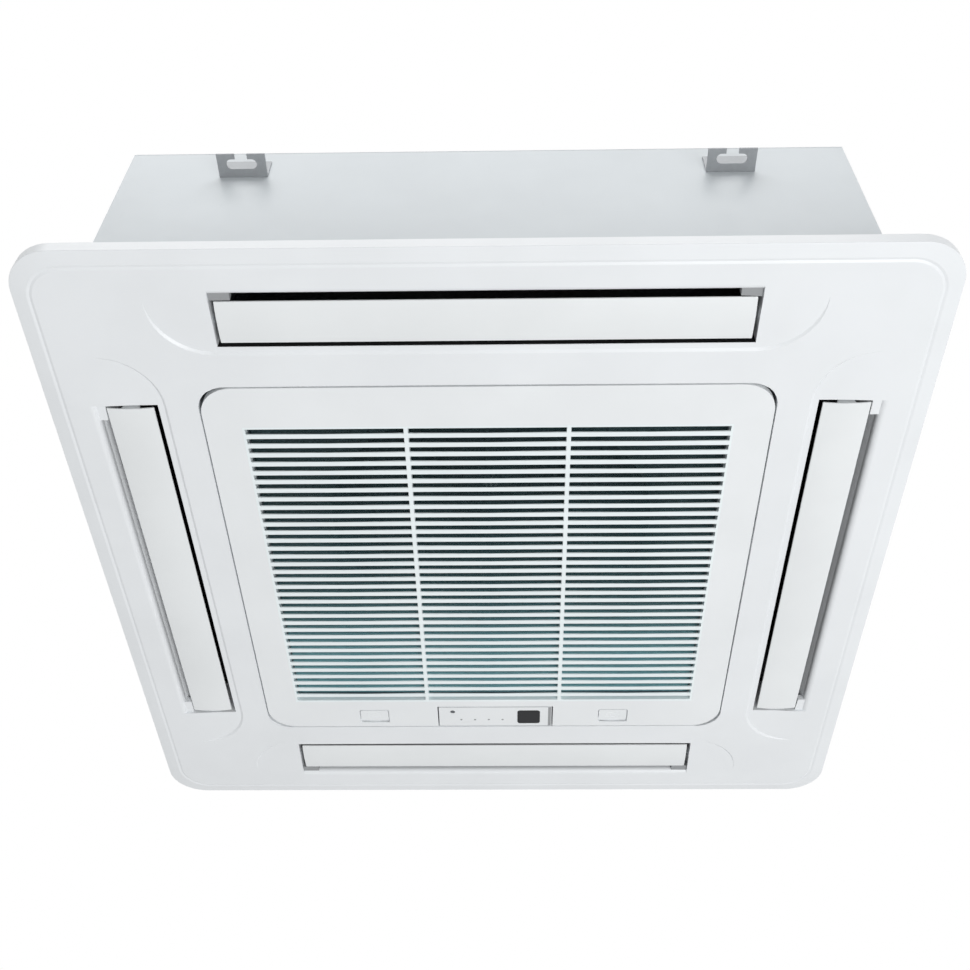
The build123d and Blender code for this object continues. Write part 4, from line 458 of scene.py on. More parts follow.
def moulded(name, tone, gloss=0.36, grain=0.00035, depth=0.00002):
    """Satin moulded plastic with fine spark grain and faint flow clouds."""
    f = Finish(name)
    clouds = f.noise(0.16, 3.0)
    fine = f.noise(grain, 2.0)
    f.set(
        Base_Color=f.mix(clouds.ramp(0.3, 0.7), shade(tone, 0.975), shade(tone, 1.015)),
        Roughness=f.noise(0.05, 3.0) * 0.10 + (gloss - 0.05),
        Specular_IOR_Level=0.45,
    )
    f.bump(fine, depth, 0.6)


def powder_coat(name, tone):
    """Sheet metal under a baked coat with a fine orange peel and a few rubbed places."""
    f = Finish(name)
    clouds = f.noise(0.22, 4.0)
    rubbed = f.noise(0.012, 5.0, (1, 1, 0.25)).ramp(0.66, 0.74)
    base = f.mix(clouds.ramp(0.3, 0.7), shade(tone, 0.965), shade(tone, 1.02))
    f.set(
        Base_Color=f.mix(rubbed * 0.25, base, shade(tone, 0.9)),
        Roughness=f.noise(0.03, 3.0) * 0.12 + 0.34,
        Specular_IOR_Level=0.5,
    )
    f.bump(f.noise(0.0016, 2.0), 0.00004, 0.5)


def galvanised(name, tone, metal=0.75, crystal=0.007, contrast=0.13):
    """Zinc with its crystal spangle."""
    f = Finish(name)
    own = f.cell_tones(crystal)
    cloud = f.noise(0.03, 4.0)
    dark, pale = shade(tone, 1 - contrast), shade(tone, 1 + contrast)
    f.set(
        Base_Color=f.mix(own * 0.6 + cloud * 0.4, dark, pale),
        Metallic=metal,
        Roughness=own * contrast + cloud * 0.10 + 0.36,
    )
    f.bump(f.noise(0.0009, 3.0), 0.00003, 0.5)


def drawn_metal(name, tone, rough=0.3, tarnish=0.8, metal=1.0):
    """Tube, rod or cast metal with handling marks and a thin tarnish."""
    f = Finish(name)
    cloud = f.noise(0.02, 5.0).ramp(0.35, 0.7)
    marks = f.noise(0.0025, 4.0)
    f.set(
        Base_Color=f.mix(cloud, tone, shade(tone, tarnish)),
        Metallic=metal,
        Roughness=cloud * 0.12 + marks * 0.10 + (rough - 0.06),
    )
    f.bump(marks, 0.00002, 0.5)


def turned_metal(name, tone):
    """Machined metal with fine tool marks."""
    f = Finish(name)
    marks = f.noise(0.0008, 3.0)
    f.set(
        Base_Color=f.mix(f.noise(0.01, 3.0), tone, shade(tone, 0.86)),
        Metallic=1.0,
        Roughness=marks * 0.15 + 0.20,
    )
    f.bump(marks, 0.00003, 0.4)


def fin_pack(name, tone, pitch):
    """Aluminium plates on edge, seen as fine upright lines with painted shade in the gaps between
    them.
    """
    f = Finish(name)
    faces_x, faces_y, _ = f.faced()
    turned = faces_x > faces_y
    line = turned * f.y.sine(pitch) + (1 - turned) * f.x.sine(pitch)
    # painted shade: the gaps between the fins are dark lines, darker still in bands every 25.4 mm
    # up
    gap = line.ramp(-0.6, 0.5)
    rows = f.z.sine(0.0254).ramp(0.86, 1.0) * 0.25
    f.set(
        Base_Color=f.mix(gap * (1 - rows), shade(tone, 0.18), tone),
        Metallic=0.85,
        Roughness=f.noise(0.01, 3.0) * 0.2 + 0.32,
    )
    f.bump(gap, 0.0006, 0.6)


def bead_foam(name, tone, size):
    """Moulded bead foam: soft round cells pressed against each other, with painted shade in the
    creases between them.
    """
    f = Finish(name)
    own = f.cell_tones(size)
    # painted shade: the colour darkens towards each cell's edge
    wall = f.depths(size, "DISTANCE_TO_EDGE").ramp(0.0, 0.12)
    f.set(
        Base_Color=f.mix(wall * (own * 0.2 + 0.8), shade(tone, 0.86), tone),
        Roughness=own * 0.12 + 0.62,
    )
    f.bump(wall + f.noise(0.0012, 2.0) * 0.2, 0.0003, 0.5)


def felt_foam(name, tone):
    """Open foam or felt strip."""
    f = Finish(name)
    fibre = f.noise(0.0014, 4.0)
    f.set(
        Base_Color=f.mix(fibre, shade(tone, 0.6), shade(tone, 1.35)),
        Roughness=0.95,
        Specular_IOR_Level=0.15,
    )
    f.bump(fibre, 0.0006, 0.8)


def rubber(name, tone):
    """Matt rubber with bloom."""
    f = Finish(name)
    bloom = f.noise(0.012, 4.0).ramp(0.4, 0.75)
    f.set(
        Base_Color=f.mix(bloom, tone, shade(tone, 1.7)),
        Roughness=bloom * 0.15 + 0.62,
        Specular_IOR_Level=0.35,
    )
    f.bump(f.noise(0.0008, 2.0), 0.00004, 0.6)


def woven_net(name, tone, pitch):
    """A fine net: threads both ways with open holes; painted shade makes it darker towards -Y and
    painted light makes it paler towards +Y, with random dust tones.
    """
    f = Finish(name)
    across = f.x.sine(pitch)
    along = f.y.sine(pitch)
    thread = across.math("MAXIMUM", along).ramp(0.35, 0.60)
    # painted shade: darker towards -Y by the Y ramp, plus random dust tones from the noise
    shade_and_dust = f.y.ramp(-0.22, 0.24) * 0.75 + f.noise(0.09, 3.0) * 0.35
    # painted light: the net's colour grows paler towards +Y
    painted_far_light = f.mix(f.y.ramp(0.02, 0.17), shade(tone, 1.6), shade(tone, 3.4))
    f.set(
        Base_Color=f.mix(shade_and_dust, shade(tone, 0.12), painted_far_light),
        Roughness=f.noise(0.02, 2.0) * 0.1 + 0.6,
        Specular_IOR_Level=0.2,
        Alpha=thread * 0.6 + 0.2,
    )
    f.bump(across * along, 0.0001, 0.5)


def circuit_board(name, tone):
    """Solder mask over copper tracks."""
    f = Finish(name)
    track = f.depths(0.00625, "DISTANCE_TO_EDGE", Randomness=0.35).ramp(0.03, 0.07)
    pad = f.depths(0.006) < 0.16
    base = f.mix(track, shade(tone, 2.4), tone)
    f.set(
        Base_Color=f.mix(pad, base, (0.55, 0.55, 0.50)),
        Roughness=0.34 + 0.1 * track,
        Metallic=pad * 0.7,
    )
    f.bump(1 - track, 0.00005, 0.6)


def dark_lens(name, tone):
    """Smoked infrared plastic with a satin face."""
    f = Finish(name)
    f.set(
        Base_Color=f.mix(f.noise(0.02, 2.0), tone, shade(tone, 1.3)),
        Roughness=f.noise(0.004, 3.0) * 0.05 + 0.16,
        Specular_IOR_Level=0.22,
    )


def light_pipe(name, tone):
    """Milky light pipe, unlit."""
    f = Finish(name)
    f.set(
        Base_Color=f.mix(f.noise(0.002, 2.0), tone, shade(tone, 0.8)),
        Roughness=f.noise(0.001, 2.0) * 0.08 + 0.18,
        Coat_Weight=0.4,
        Coat_Roughness=0.08,
    )


def make_finishes():
    """Makes every finish: one for each of the record's slots, and five for single forms."""
    c = bpy.context.scene.cassette_colours
    s = bpy.context.scene.cassette_sizes
    moulded("panel_white", c.panel)
    moulded("louvre_white", c.louvre, 0.34)
    moulded("grille_white", c.grille, 0.38)
    moulded("strip_white", shade(c.grille, 0.985), 0.30)
    moulded("button_grey", (0.10, 0.11, 0.12), 0.42)
    moulded("grey_plastic", (0.19, 0.20, 0.21), 0.46)
    moulded("dark_plastic", (0.035, 0.037, 0.04), 0.42)
    moulded("float_plastic", (0.55, 0.53, 0.47), 0.4)
    moulded("cream_plastic", (0.72, 0.68, 0.56), 0.42)
    moulded("filter_plastic", (0.10, 0.12, 0.135), 0.5)
    moulded("fan_plastic", c.fan, 0.44, 0.0006, 0.00005)
    powder_coat("white_steel", c.steel)
    galvanised("grey_steel", (0.33, 0.345, 0.36), 0.25, 0.005, 0.06)
    galvanised("zinc_steel", c.zinc)
    drawn_metal("bright_steel", (0.62, 0.63, 0.64), 0.24, 0.9)
    drawn_metal("dark_steel", (0.20, 0.21, 0.22), 0.38, 0.8, 0.85)
    felt_foam("dark_foam", (0.035, 0.036, 0.038))
    bead_foam("pan_foam", c.pan, s.bead)
    rubber("black_rubber", (0.018, 0.018, 0.019))
    rubber("hose_rubber", (0.13, 0.135, 0.14))
    fin_pack("fin_aluminium", (0.66, 0.68, 0.70), s.fin_pitch)
    drawn_metal("copper", c.copper, 0.30, 0.62)
    turned_metal("brass", c.brass)
    moulded("net_plastic", shade(c.net, 0.7), 0.5)
    circuit_board("green_board", c.board)
    dark_lens("window_black", (0.012, 0.013, 0.015))
    light_pipe("light_pipe", (0.34, 0.36, 0.36))
    # slats: white with a painted teal tint of light bounced from the filter net
    moulded("slat_white_teal_bounce", c.slats)
    # dark felt for the ducts' inner walls; its near black also stands in for the shade inside the
    # ducts
    felt_foam("duct_flock_and_shade", (0.012, 0.012, 0.013))
    # grey for the strip's bar, and painted shade on the near and far outlet shelves
    moulded("grey_bar_and_shelf_shade", (0.30, 0.31, 0.32), 0.5)
    moulded("bell_plastic", (0.32, 0.46, 0.47), 0.45)
    woven_net("net_weave", c.net, s.net_pitch)


def finish(name):
    """A finish that has been made."""
    return bpy.data.materials[FINISH_PREFIX + name]


# ------------ shapes


def paint(node, slot):
    """Gives a node of the frame its finish."""
    materials = frame["nodes"][node].data.materials
    materials.clear()
    materials.append(finish(slot))


def slot_of_node(node):
    """The record's material slot of a node."""
    parts = frame["record"]["subparts"]
    return next(part["material_slot"] for part in parts if part["node"] == node)


def soften(bm, sharp):
    """Shades a mesh smooth except across its sharp edges."""
    for face in bm.faces:
        face.smooth = True
    for edge in bm.edges:
        edge.smooth = not edge.is_manifold or edge.calc_face_angle(0) < radians(sharp)


def place_piece(bm, name, slot, body, look=None, sharp=SHARP):
    """Makes a piece of a mesh and gives it its finish and body; the slot names the finish unless
    look does.
    """
    soften(bm, sharp)
    mesh = bpy.data.meshes.new(name)
    bm.to_mesh(mesh)
    bm.free()
    mesh.materials.append(finish(look or slot))
    obj = bpy.data.objects.new(name, mesh)
    bpy.context.collection.objects.link(obj)
    even = obj.modifiers.new("Even shading", "WEIGHTED_NORMAL")
    even.keep_sharp = True
    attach(obj, body)
    return obj


def merged(node, cuts=()):
    """A copy of a node's mesh with its triangles joined into whole faces.

    Each cut is a point and a direction, and faces stay divided along its plane.
    """
    bm = bmesh.new()
    bm.from_mesh(frame["nodes"][node].data)
    bmesh.ops.remove_doubles(bm, verts=bm.verts, dist=MERGE)
    for point, direction in cuts:
        cut = bmesh.ops.bisect_plane(
            bm, geom=bm.verts[:] + bm.edges[:] + bm.faces[:], dist=ON_PLANE,
            plane_co=point, plane_no=direction,
        )
        for part in cut["geom_cut"]:
            if isinstance(part, bmesh.types.BMEdge):
                part.seam = True
    bmesh.ops.dissolve_limit(
        bm, angle_limit=radians(FLAT), use_dissolve_boundaries=False,
        verts=bm.verts, edges=bm.edges, delimit={"SEAM"},
    )
    return bm


def bevel(bm, edges, width, slide):
    """Rounds edges, and lets them slide past each other or stops them there."""
    bmesh.ops.bevel(
        bm, geom=edges, offset=width, offset_type="OFFSET", affect="EDGES", segments=EDGE_FACES,
        profile=0.5, material=-1, clamp_overlap=not slide, loop_slide=slide,
    )


def round_edges(bm, width, turn, pick=None):
    """Rounds the edges that turn by more than that many degrees, if pick takes them."""
    edges = [
        edge
        for edge in bm.edges
        if edge.is_manifold
        and edge.calc_face_angle(0) > radians(turn)
        and (pick is None or pick(edge))
    ]
    bevel(bm, edges, width, True)


def dress(node, width, turn=PART_TURN, pick=None, add=None, cuts=()):
    """Stands a copy with rounded edges in for a node, with what add builds on it."""
    bm = merged(node, cuts)
    round_edges(bm, width, turn, pick)
    if add:
        add(bm)
    body = frame["nodes"][node]["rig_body"]
    obj = place_piece(bm, node + "_form", slot_of_node(node), body)
    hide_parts(node)
    return obj


def boss(bm, radius, height, place, segments, edge):
    """A round boss that stands up from place along its own Z, with a rounded top edge."""
    verts = bmesh.ops.create_cone(
        bm, cap_ends=True, segments=segments, radius1=radius, radius2=radius,
        depth=height, matrix=place @ Matrix.Translation((0, 0, height / 2)),
    )["verts"]
    axis = (place.to_3x3() @ Vector(UP)).normalized()
    top = max(v.co.dot(axis) for v in verts) - ON_PLANE
    rim = {e for v in verts for e in v.link_edges if all(w.co.dot(axis) > top for w in e.verts)}
    bevel(bm, list(rim), edge, False)


def block(bm, size, place, edge=0.0):
    """A rectangular form centred on place, with its edges rounded."""
    made = bmesh.ops.create_cube(bm, size=1.0, matrix=place @ Matrix.Diagonal((*size, 1)))
    if edge:
        bevel(bm, list({e for v in made["verts"] for e in v.link_edges}), edge, False)


def stand_on(point, direction, turn=0.0):
    """The place of a part that stands on point and looks along direction."""
    turned = Vector(direction).to_track_quat("Z", "Y").to_matrix().to_4x4()
    return Matrix.Translation(point) @ turned @ Matrix.Rotation(turn, 4, "Z")


def cross_screw(bm, point, direction, size, turn):
    """Low pan head screw with a raised crown and a cross cut in it."""
    place = stand_on(point, direction, turn)
    boss(bm, size / 2, size * HEAD_HIGH, place, SMALL_ROUND, size * HEAD_EDGE)
    lobe = (size * LOBE, size * LOBE, size * LOBE_HIGH)
    out = Matrix.Translation((size * LOBE, 0, size * LOBE_UP))
    for quarter in range(4):
        spot = place @ Matrix.Rotation(quarter * pi / 2 + pi / 4, 4, "Z") @ out
        block(bm, lobe, spot, size * LOBE_EDGE)


def board_parts(bm, spots, size, widths, edge):
    """Small parts on a board, in a few widths that take turns."""
    for number, spot in enumerate(spots):
        wide = size[0] + PART_GROWTH * (number % widths)
        block(bm, (wide, *size[1:]), Matrix.Translation(spot), edge)


def side_turn(side):
    """Turns the near side to another one."""
    return Matrix.Rotation(SIDES.index(side) * pi / 2, 4, "Z")


def side_point(side, along, out, up):
    """A point given by its distance along a side, out from the middle and up."""
    return side_turn(side) @ Vector((along, -out, up))


def side_out(side):
    """The direction that a side faces."""
    return side_turn(side) @ Vector((0, -1, 0))


def out_along(point):
    """How far a point of the panel lies out from the middle and along its side."""
    along, out = sorted((abs(point.x), abs(point.y)))
    return out, along


# ------------ pieces


class Maker:
    """What the operators share."""

    bl_options = {"REGISTER", "UNDO"}

    @property
    def sizes(self):
        return bpy.context.scene.cassette_sizes


class CASSETTE_OT_finishes(Maker, Operator):
    """Makes every finish and gives each node of the frame its own"""

    bl_idname = "cassette.finishes"
    bl_label = "Finishes"

    def execute(self, context):
        make_finishes()
        for part in frame["record"]["subparts"]:
            paint(part["node"], part["material_slot"])
        return {"FINISHED"}


class CASSETTE_OT_panel(Maker, Operator):
    """Decorative panel with softened edges, round lips, a line inside its rim and dark ducts"""

    bl_idname = "cassette.panel"
    bl_label = "Panel"

    def execute(self, context):
        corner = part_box("panel_frame")[1].x - RIM_WIDTH - RIM_CORNER
        cuts = [
            (Vector(axis) * out, axis)
            for out in (0, -GRILLE_REACH, GRILLE_REACH)
            for axis in ((1, 0, 0), (0, 1, 0))
        ]
        bm = merged("panel_frame", cuts)

        def off_line(v):
            beyond = Vector((max(abs(v.co.x) - corner, 0), max(abs(v.co.y) - corner, 0)))
            return abs(beyond.length - RIM_CORNER)

        def on_line(edge):
            return all(abs(v.co.z) < MERGE and off_line(v) < ON_LINE for v in edge.verts)

        def is_wall(edge):
            run = edge.verts[0].co - edge.verts[1].co
            return abs(run.z) > WALL_RISE and run.xy.length < ON_LINE

        def on_face(edge):
            return all(v.co.z < EDGE_TOP and any(map(is_wall, v.link_edges)) for v in edge.verts)

        self.slope_relief(bm)
        self.round_outlets(bm)
        round_edges(bm, self.sizes.panel_edge, MOULD_TURN, on_face)
        round_edges(bm, self.sizes.rim_line / 2, LINE_TURN, on_line)
        groove = [v for v in bm.verts if abs(v.co.z) < GROOVE_HIGH and off_line(v) < GROOVE_NEAR]
        depth = self.sizes.rim_line * RIM_LINE_DEPTH
        bmesh.ops.translate(bm, verts=groove, vec=(0, 0, depth))
        obj = place_piece(bm, "panel_moulding", "panel_white", "unit", sharp=PANEL_SHARP)
        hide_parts("panel_frame")
        self.line_ducts(obj)
        return {"FINISHED"}

    def round_outlets(self, bm):
        """Rounds the outer lip of each outlet like the mouth of a bell."""
        radius = self.sizes.lip_round

        def on_wall(v):
            out, along = out_along(v.co)
            low = v.co.z < LIP_HIGH + NEAR
            return low and abs(out - OUTLET_OUT) < NEAR and along < OUTLET_HALF + NEAR

        for step in range(LIP_STEPS):
            rise = radius * (1 - sin(pi / 2 * step / LIP_STEPS))
            walls = [face for face in bm.faces if all(on_wall(v) for v in face.verts)]
            edges = list({edge for face in walls for edge in face.edges})
            verts = list({v for face in walls for v in face.verts})
            bmesh.ops.bisect_plane(
                bm, geom=verts + edges + walls, dist=ON_PLANE, plane_co=(0, 0, rise), plane_no=UP
            )
        for v in bm.verts:
            if on_wall(v) and v.co.z < radius:
                axis = 0 if abs(v.co.x) > abs(v.co.y) else 1
                back = radius * (1 - cos(asin(1 - v.co.z / radius)))
                v.co[axis] *= 1 + back / OUTLET_OUT

    def slope_relief(self, bm):
        """Slopes the step round each relief, less where the step fades out."""
        half = RELIEF_R / 2
        for v in bm.verts:
            upright = abs(v.co.y) > abs(v.co.x)
            out, along = (v.co.y, v.co.x) if upright else (v.co.x, v.co.y)
            middle = max(-OUTLET_HALF, min(OUTLET_HALF, along))
            away = Vector((along - middle, abs(out) - RELIEF_EDGE - RELIEF_R))
            reach = abs(out) - RELIEF_EDGE
            on_step = abs(v.co.z) <= MERGE and abs(away.length - RELIEF_R) <= ON_LINE
            if not on_step or reach > RELIEF_R:
                continue
            share = 2 * RELIEF_FADE * (1 - reach / RELIEF_R)
            if reach < half:
                share = 1 - (1 - RELIEF_FADE) * reach / half
            away = away.normalized() * self.sizes.relief_run * share
            away.y *= 1 if out > 0 else -1
            v.co += Vector((away.x, away.y, 0)) if upright else Vector((away.y, away.x, 0))

    def line_ducts(self, obj):
        """Makes the inner wall of each duct dark with a felt lining that also stands in for the
        ducts' shade, and makes the near and far end shelves grey as painted shade.
        """
        obj.data.materials.append(finish("duct_flock_and_shade"))
        obj.data.materials.append(finish("grey_bar_and_shelf_shade"))
        bm = bmesh.new()
        bm.from_mesh(obj.data)
        for face in bm.faces:
            middle = face.calc_center_median()
            out, along = out_along(middle)
            upright = abs(face.normal.z) < UPRIGHT
            on_shelf = SHELF_IN - NEAR < out < OUTLET_OUT and SHELF_LOW < middle.z < SHELF_HIGH
            # the inner walls go dark: a felt lining, and painted shade of the dark inside of the
            # ducts
            if upright and abs(out - OUTLET_IN) < NEAR and along < OUTLET_HALF:
                if face.calc_area() > DUCT_AREA:
                    face.material_index = 1
            # painted shade: only the near and far shelves turn grey; the side shelves keep the
            # panel's white
            elif on_shelf and SHELF_ALONG < along < OUTLET_HALF - NEAR:
                if abs(middle.y) > abs(middle.x):
                    face.material_index = 2
        bm.to_mesh(obj.data)
        bm.free()


class CASSETTE_OT_grille(Maker, Operator):
    """Intake grille with low slats that taper towards their backs"""

    bl_idname = "cassette.grille"
    bl_label = "Intake grille"

    def execute(self, context):
        low = FIELD_Y - FIELD_ROWS * FIELD_PITCH / 2
        cuts = [((0, low + row * FIELD_PITCH, 0), (0, 1, 0)) for row in range(FIELD_ROWS + 1)]
        cuts += [((half * COLUMN_PITCH / 2, 0, 0), (1, 0, 0)) for half in range(-3, 4)]
        bm = merged("intake_grille", cuts)
        reach = 1.5 * COLUMN_PITCH

        def in_field(point):
            wide = abs(point.x) < reach and abs(point.y - FIELD_Y) < FIELD_HALF
            return wide and point.z < SLAT_TOP

        def is_slat(edge):
            return in_field((edge.verts[0].co + edge.verts[1].co) / 2)

        def on_back(edge):
            return is_slat(edge) and all(v.co.z > SLAT_BACK for v in edge.verts)

        def on_face(edge):
            return is_slat(edge) and edge.verts[0].co.z < NEAR

        def off_field(edge):
            return not is_slat(edge) and all(v.co.z < SLAT_BACK for v in edge.verts)

        round_edges(bm, self.sizes.slat_back, MOULD_TURN, on_back)
        for v in bm.verts:
            if in_field(v.co) and v.co.z > SLAT_FOOT:
                v.co.z = SLAT_FOOT + (v.co.z - SLAT_FOOT) * SLAT_SHARE
        round_edges(bm, self.sizes.slat_edge, MOULD_TURN, on_face)
        round_edges(bm, self.sizes.panel_edge, MOULD_TURN, off_field)
        for face in bm.faces:
            middle = face.calc_center_median()
            inside = abs(middle.x) < reach - WHITE_IN and abs(middle.y - FIELD_Y) < WHITE_HALF
            # faces of the slats get the white with painted teal bounce light
            face.material_index = int(inside and middle.z < WHITE_TOP)
        obj = place_piece(bm, "grille_moulding", "grille_white", "intake_door")
        obj.data.materials.append(finish("slat_white_teal_bounce"))
        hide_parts("intake_grille")
        return {"FINISHED"}


class CASSETTE_OT_louvres(Maker, Operator):
    """Four louvres with rounded blades, their bearings and their stepper motors"""

    bl_idname = "cassette.louvres"
    bl_label = "Louvres"

    def execute(self, context):
        for side in SIDES:
            dress("louvre_" + side, self.sizes.louvre_edge)
            self.stepper(side)
        dress("louvre_bearings", SMALL_EDGE)
        return {"FINISHED"}

    def stepper(self, side):
        """Stepper motor can with its crimped lid and its plug."""
        node = "louvre_stepper_" + side
        low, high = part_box(node)
        middle = (low + high) / 2
        outward = side_turn(side) @ Vector((-1, 0, 0))

        def fittings(bm):
            lid = stand_on(middle + outward * CAN_LID_OUT, outward)
            boss(bm, *CAN_LID, lid, LARGE_ROUND, THIN_EDGE)
            plug = stand_on(middle + Vector(UP) * CAN_PLUG_UP, UP)
            block(bm, CAN_PLUG, plug, SMALL_EDGE)

        dress(node, SMALL_EDGE, add=fittings)


class CASSETTE_OT_latches(Maker, Operator):
    """Two sliding latches with softened edges"""

    bl_idname = "cassette.latches"
    bl_label = "Latches"

    def execute(self, context):
        for hand in ("left", "right"):
            dress("latch_" + hand, THIN_EDGE)
        return {"FINISHED"}


class CASSETTE_OT_strip(Maker, Operator):
    """Receiver strip with its grey bar, window, lights, button and display board"""

    bl_idname = "cassette.strip"
    bl_label = "Receiver strip"

    def execute(self, context):
        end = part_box("strip_cover")[1].x
        low, high = (end - inset for inset in BAR)
        cuts = [((x, 0, 0), (1, 0, 0)) for x in (high, low)]
        cover = dress("strip_cover", SMALL_EDGE, cuts=cuts, pick=self.off_cuts)
        cover.data.materials.append(finish("grey_bar_and_shelf_shade"))
        for face in cover.data.polygons:
            if face.center.z < NEAR and low < face.center.x < high:
                face.material_index = 1
        dress("infrared_window", SOFT_EDGE)
        dress("push_button", SMALL_EDGE)
        dress("indicator_lights", THIN_EDGE)
        dress("strip_board", THIN_EDGE, add=self.parts)
        return {"FINISHED"}

    def off_cuts(self, edge):
        """True off the cuts beside the grey bar."""
        return not edge.seam

    def parts(self, bm):
        """Small parts soldered on the display board."""
        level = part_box("strip_board")[1].z - STRIP_SINK
        spots = [(x, STRIP_PARTS_Y, level) for x in STRIP_PARTS_X]
        board_parts(bm, spots, STRIP_PART, 2, THIN_EDGE)


class CASSETTE_OT_filter(Maker, Operator):
    """Filter frame with its woven net"""

    bl_idname = "cassette.filter"
    bl_label = "Filter"

    def execute(self, context):
        low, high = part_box("filter_net")
        size = high - low
        size.z *= NET_SHARE
        bm = bmesh.new()
        block(bm, size, Matrix.Translation((low + high) / 2))
        net = place_piece(bm, "filter_weave", "net_plastic", "intake_door", "net_weave")
        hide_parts("filter_net")
        dress("filter_frame", SMALL_EDGE)
        return {"FINISHED"}


class CASSETTE_OT_casing(Maker, Operator):
    """Coated casing sheets with folded edges, their screws and their knock-outs"""

    bl_idname = "cassette.casing"
    bl_label = "Casing"

    def execute(self, context):
        dress("casing_top", self.sizes.sheet_edge, SHEET_TURN)
        for side in SIDES:
            dress("casing_side_" + side, SMALL_EDGE)
        dress("pipe_cover", THIN_EDGE)
        self.screws()
        self.pressings()
        return {"FINISHED"}

    def screws(self):
        """Sheet screws of the top, the sides and the pipe cover, each turned its own way."""
        head = self.sizes.screw_head
        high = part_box("casing_top")[1]
        half = high.x
        bm = bmesh.new()
        for side in SIDES:
            for along in TOP_SCREWS_ALONG:
                point = side_point(side, along, half - TOP_SCREWS_IN, high.z - BEAD_HIGH)
                cross_screw(bm, point, UP, head, along * 9)
        for side in ("right", "far", "left"):
            for along in (SIDE_SCREWS_IN - half, half - SIDE_SCREWS_IN):
                for up in SIDE_SCREWS_UP:
                    beside_pipes = PIPES_UP[0] <= up <= PIPES_UP[1]
                    if side != "far" or along > 0 or not beside_pipes:
                        point = side_point(side, along, half, up)
                        cross_screw(bm, point, side_out(side), head, up * 30)
        low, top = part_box("pipe_cover")
        for x in (low.x + COVER_SCREWS_IN, top.x - COVER_SCREWS_IN):
            for z in (low.z + COVER_SCREWS_IN, top.z - COVER_SCREWS_IN):
                cross_screw(bm, (x, top.y, z), (0, 1, 0), head, x * 40 + z * 60)
        place_piece(bm, "casing_screws", "bright_steel", "unit")

    def pressings(self):
        """Knock-out discs pressed in the side sheets."""
        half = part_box("casing_top")[1].x
        bm = bmesh.new()
        for side in ("right", "far", "left"):
            for along in (-KNOCKOUT_ALONG, KNOCKOUT_ALONG):
                if side != "far" or along > 0:
                    place = stand_on(side_point(side, along, half, KNOCKOUT_UP), side_out(side))
                    boss(bm, *KNOCKOUT, place, LARGE_ROUND, THIN_EDGE)
        place_piece(bm, "casing_knockouts", "white_steel", "unit")


class CASSETTE_OT_hangers(Maker, Operator):
    """Four folded hanger brackets and their rivets"""

    bl_idname = "cassette.hangers"
    bl_label = "Hangers"

    def execute(self, context):
        bm = bmesh.new()
        for node in frame["nodes"]:
            if node.startswith("hanger_"):
                dress(node, PART_EDGE)
                low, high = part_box(node)
                middle = (low + high) / 2
                out = Vector((0, 1 if high.y > 0 else -1, 0))
                wall = middle.y - out.y * RIVET_IN
                for hand in (-1, 1):
                    point = (middle.x + hand * RIVET_ALONG, wall, low.z + RIVET_UP)
                    boss(bm, *RIVET, stand_on(point, out), SMALL_ROUND, RIVET_EDGE)
        place_piece(bm, "hanger_rivets", "bright_steel", "unit")
        return {"FINISHED"}


class CASSETTE_OT_inside(Maker, Operator):
    """Foam lining, bell mouth and the seal between panel and casing"""

    bl_idname = "cassette.inside"
    bl_label = "Lining and bell mouth"

    def execute(self, context):
        paint("bell_mouth", "bell_plastic")
        dress("panel_seal", SOFT_EDGE)
        dress("casing_insulation", FOAM_EDGE, FOAM_TURN)
        return {"FINISHED"}


class CASSETTE_OT_coil(Maker, Operator):
    """Heat exchanger: end plates with folded edges; fins and bends keep the frame's shape"""

    bl_idname = "cassette.coil"
    bl_label = "Heat exchanger"

    def execute(self, context):
        dress("coil_end_plates", SMALL_EDGE)
        return {"FINISHED"}


class CASSETTE_OT_fan(Maker, Operator):
    """The motor's shaft and the nut that holds the wheel"""

    bl_idname = "cassette.fan"
    bl_label = "Fan"

    def execute(self, context):
        dress("fan_nut", THICK_EDGE)
        dress("motor_shaft", PART_EDGE)
        return {"FINISHED"}


class CASSETTE_OT_services(Maker, Operator):
    """Pipe unions, drain outlet and cable grommet"""

    bl_idname = "cassette.services"
    bl_label = "Services"

    def execute(self, context):
        dress("gas_union", PART_EDGE)
        dress("liquid_union", SMALL_EDGE)
        dress("cable_grommet", SMALL_EDGE)
        dress("drain_outlet", SMALL_EDGE, add=self.barbs)
        return {"FINISHED"}

    def barbs(self, bm):
        """Two shallow rings that grip the drain hose."""
        low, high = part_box("drain_outlet")
        middle = (low + high) / 2
        tube = set(bm.faces)
        for inset in BARBS_IN:
            profile = [
                bm.verts.new((high.x - inset + along, middle.y, middle.z + out))
                for along, out in BARB
            ]
            edges = [bm.edges.new(pair) for pair in zip(profile, profile[1:] + profile[:1])]
            bmesh.ops.spin(
                bm, geom=profile + edges, cent=middle, axis=(1, 0, 0), angle=tau,
                steps=RING_ROUND, use_merge=True,
            )
        bmesh.ops.recalc_face_normals(bm, faces=[face for face in bm.faces if face not in tube])


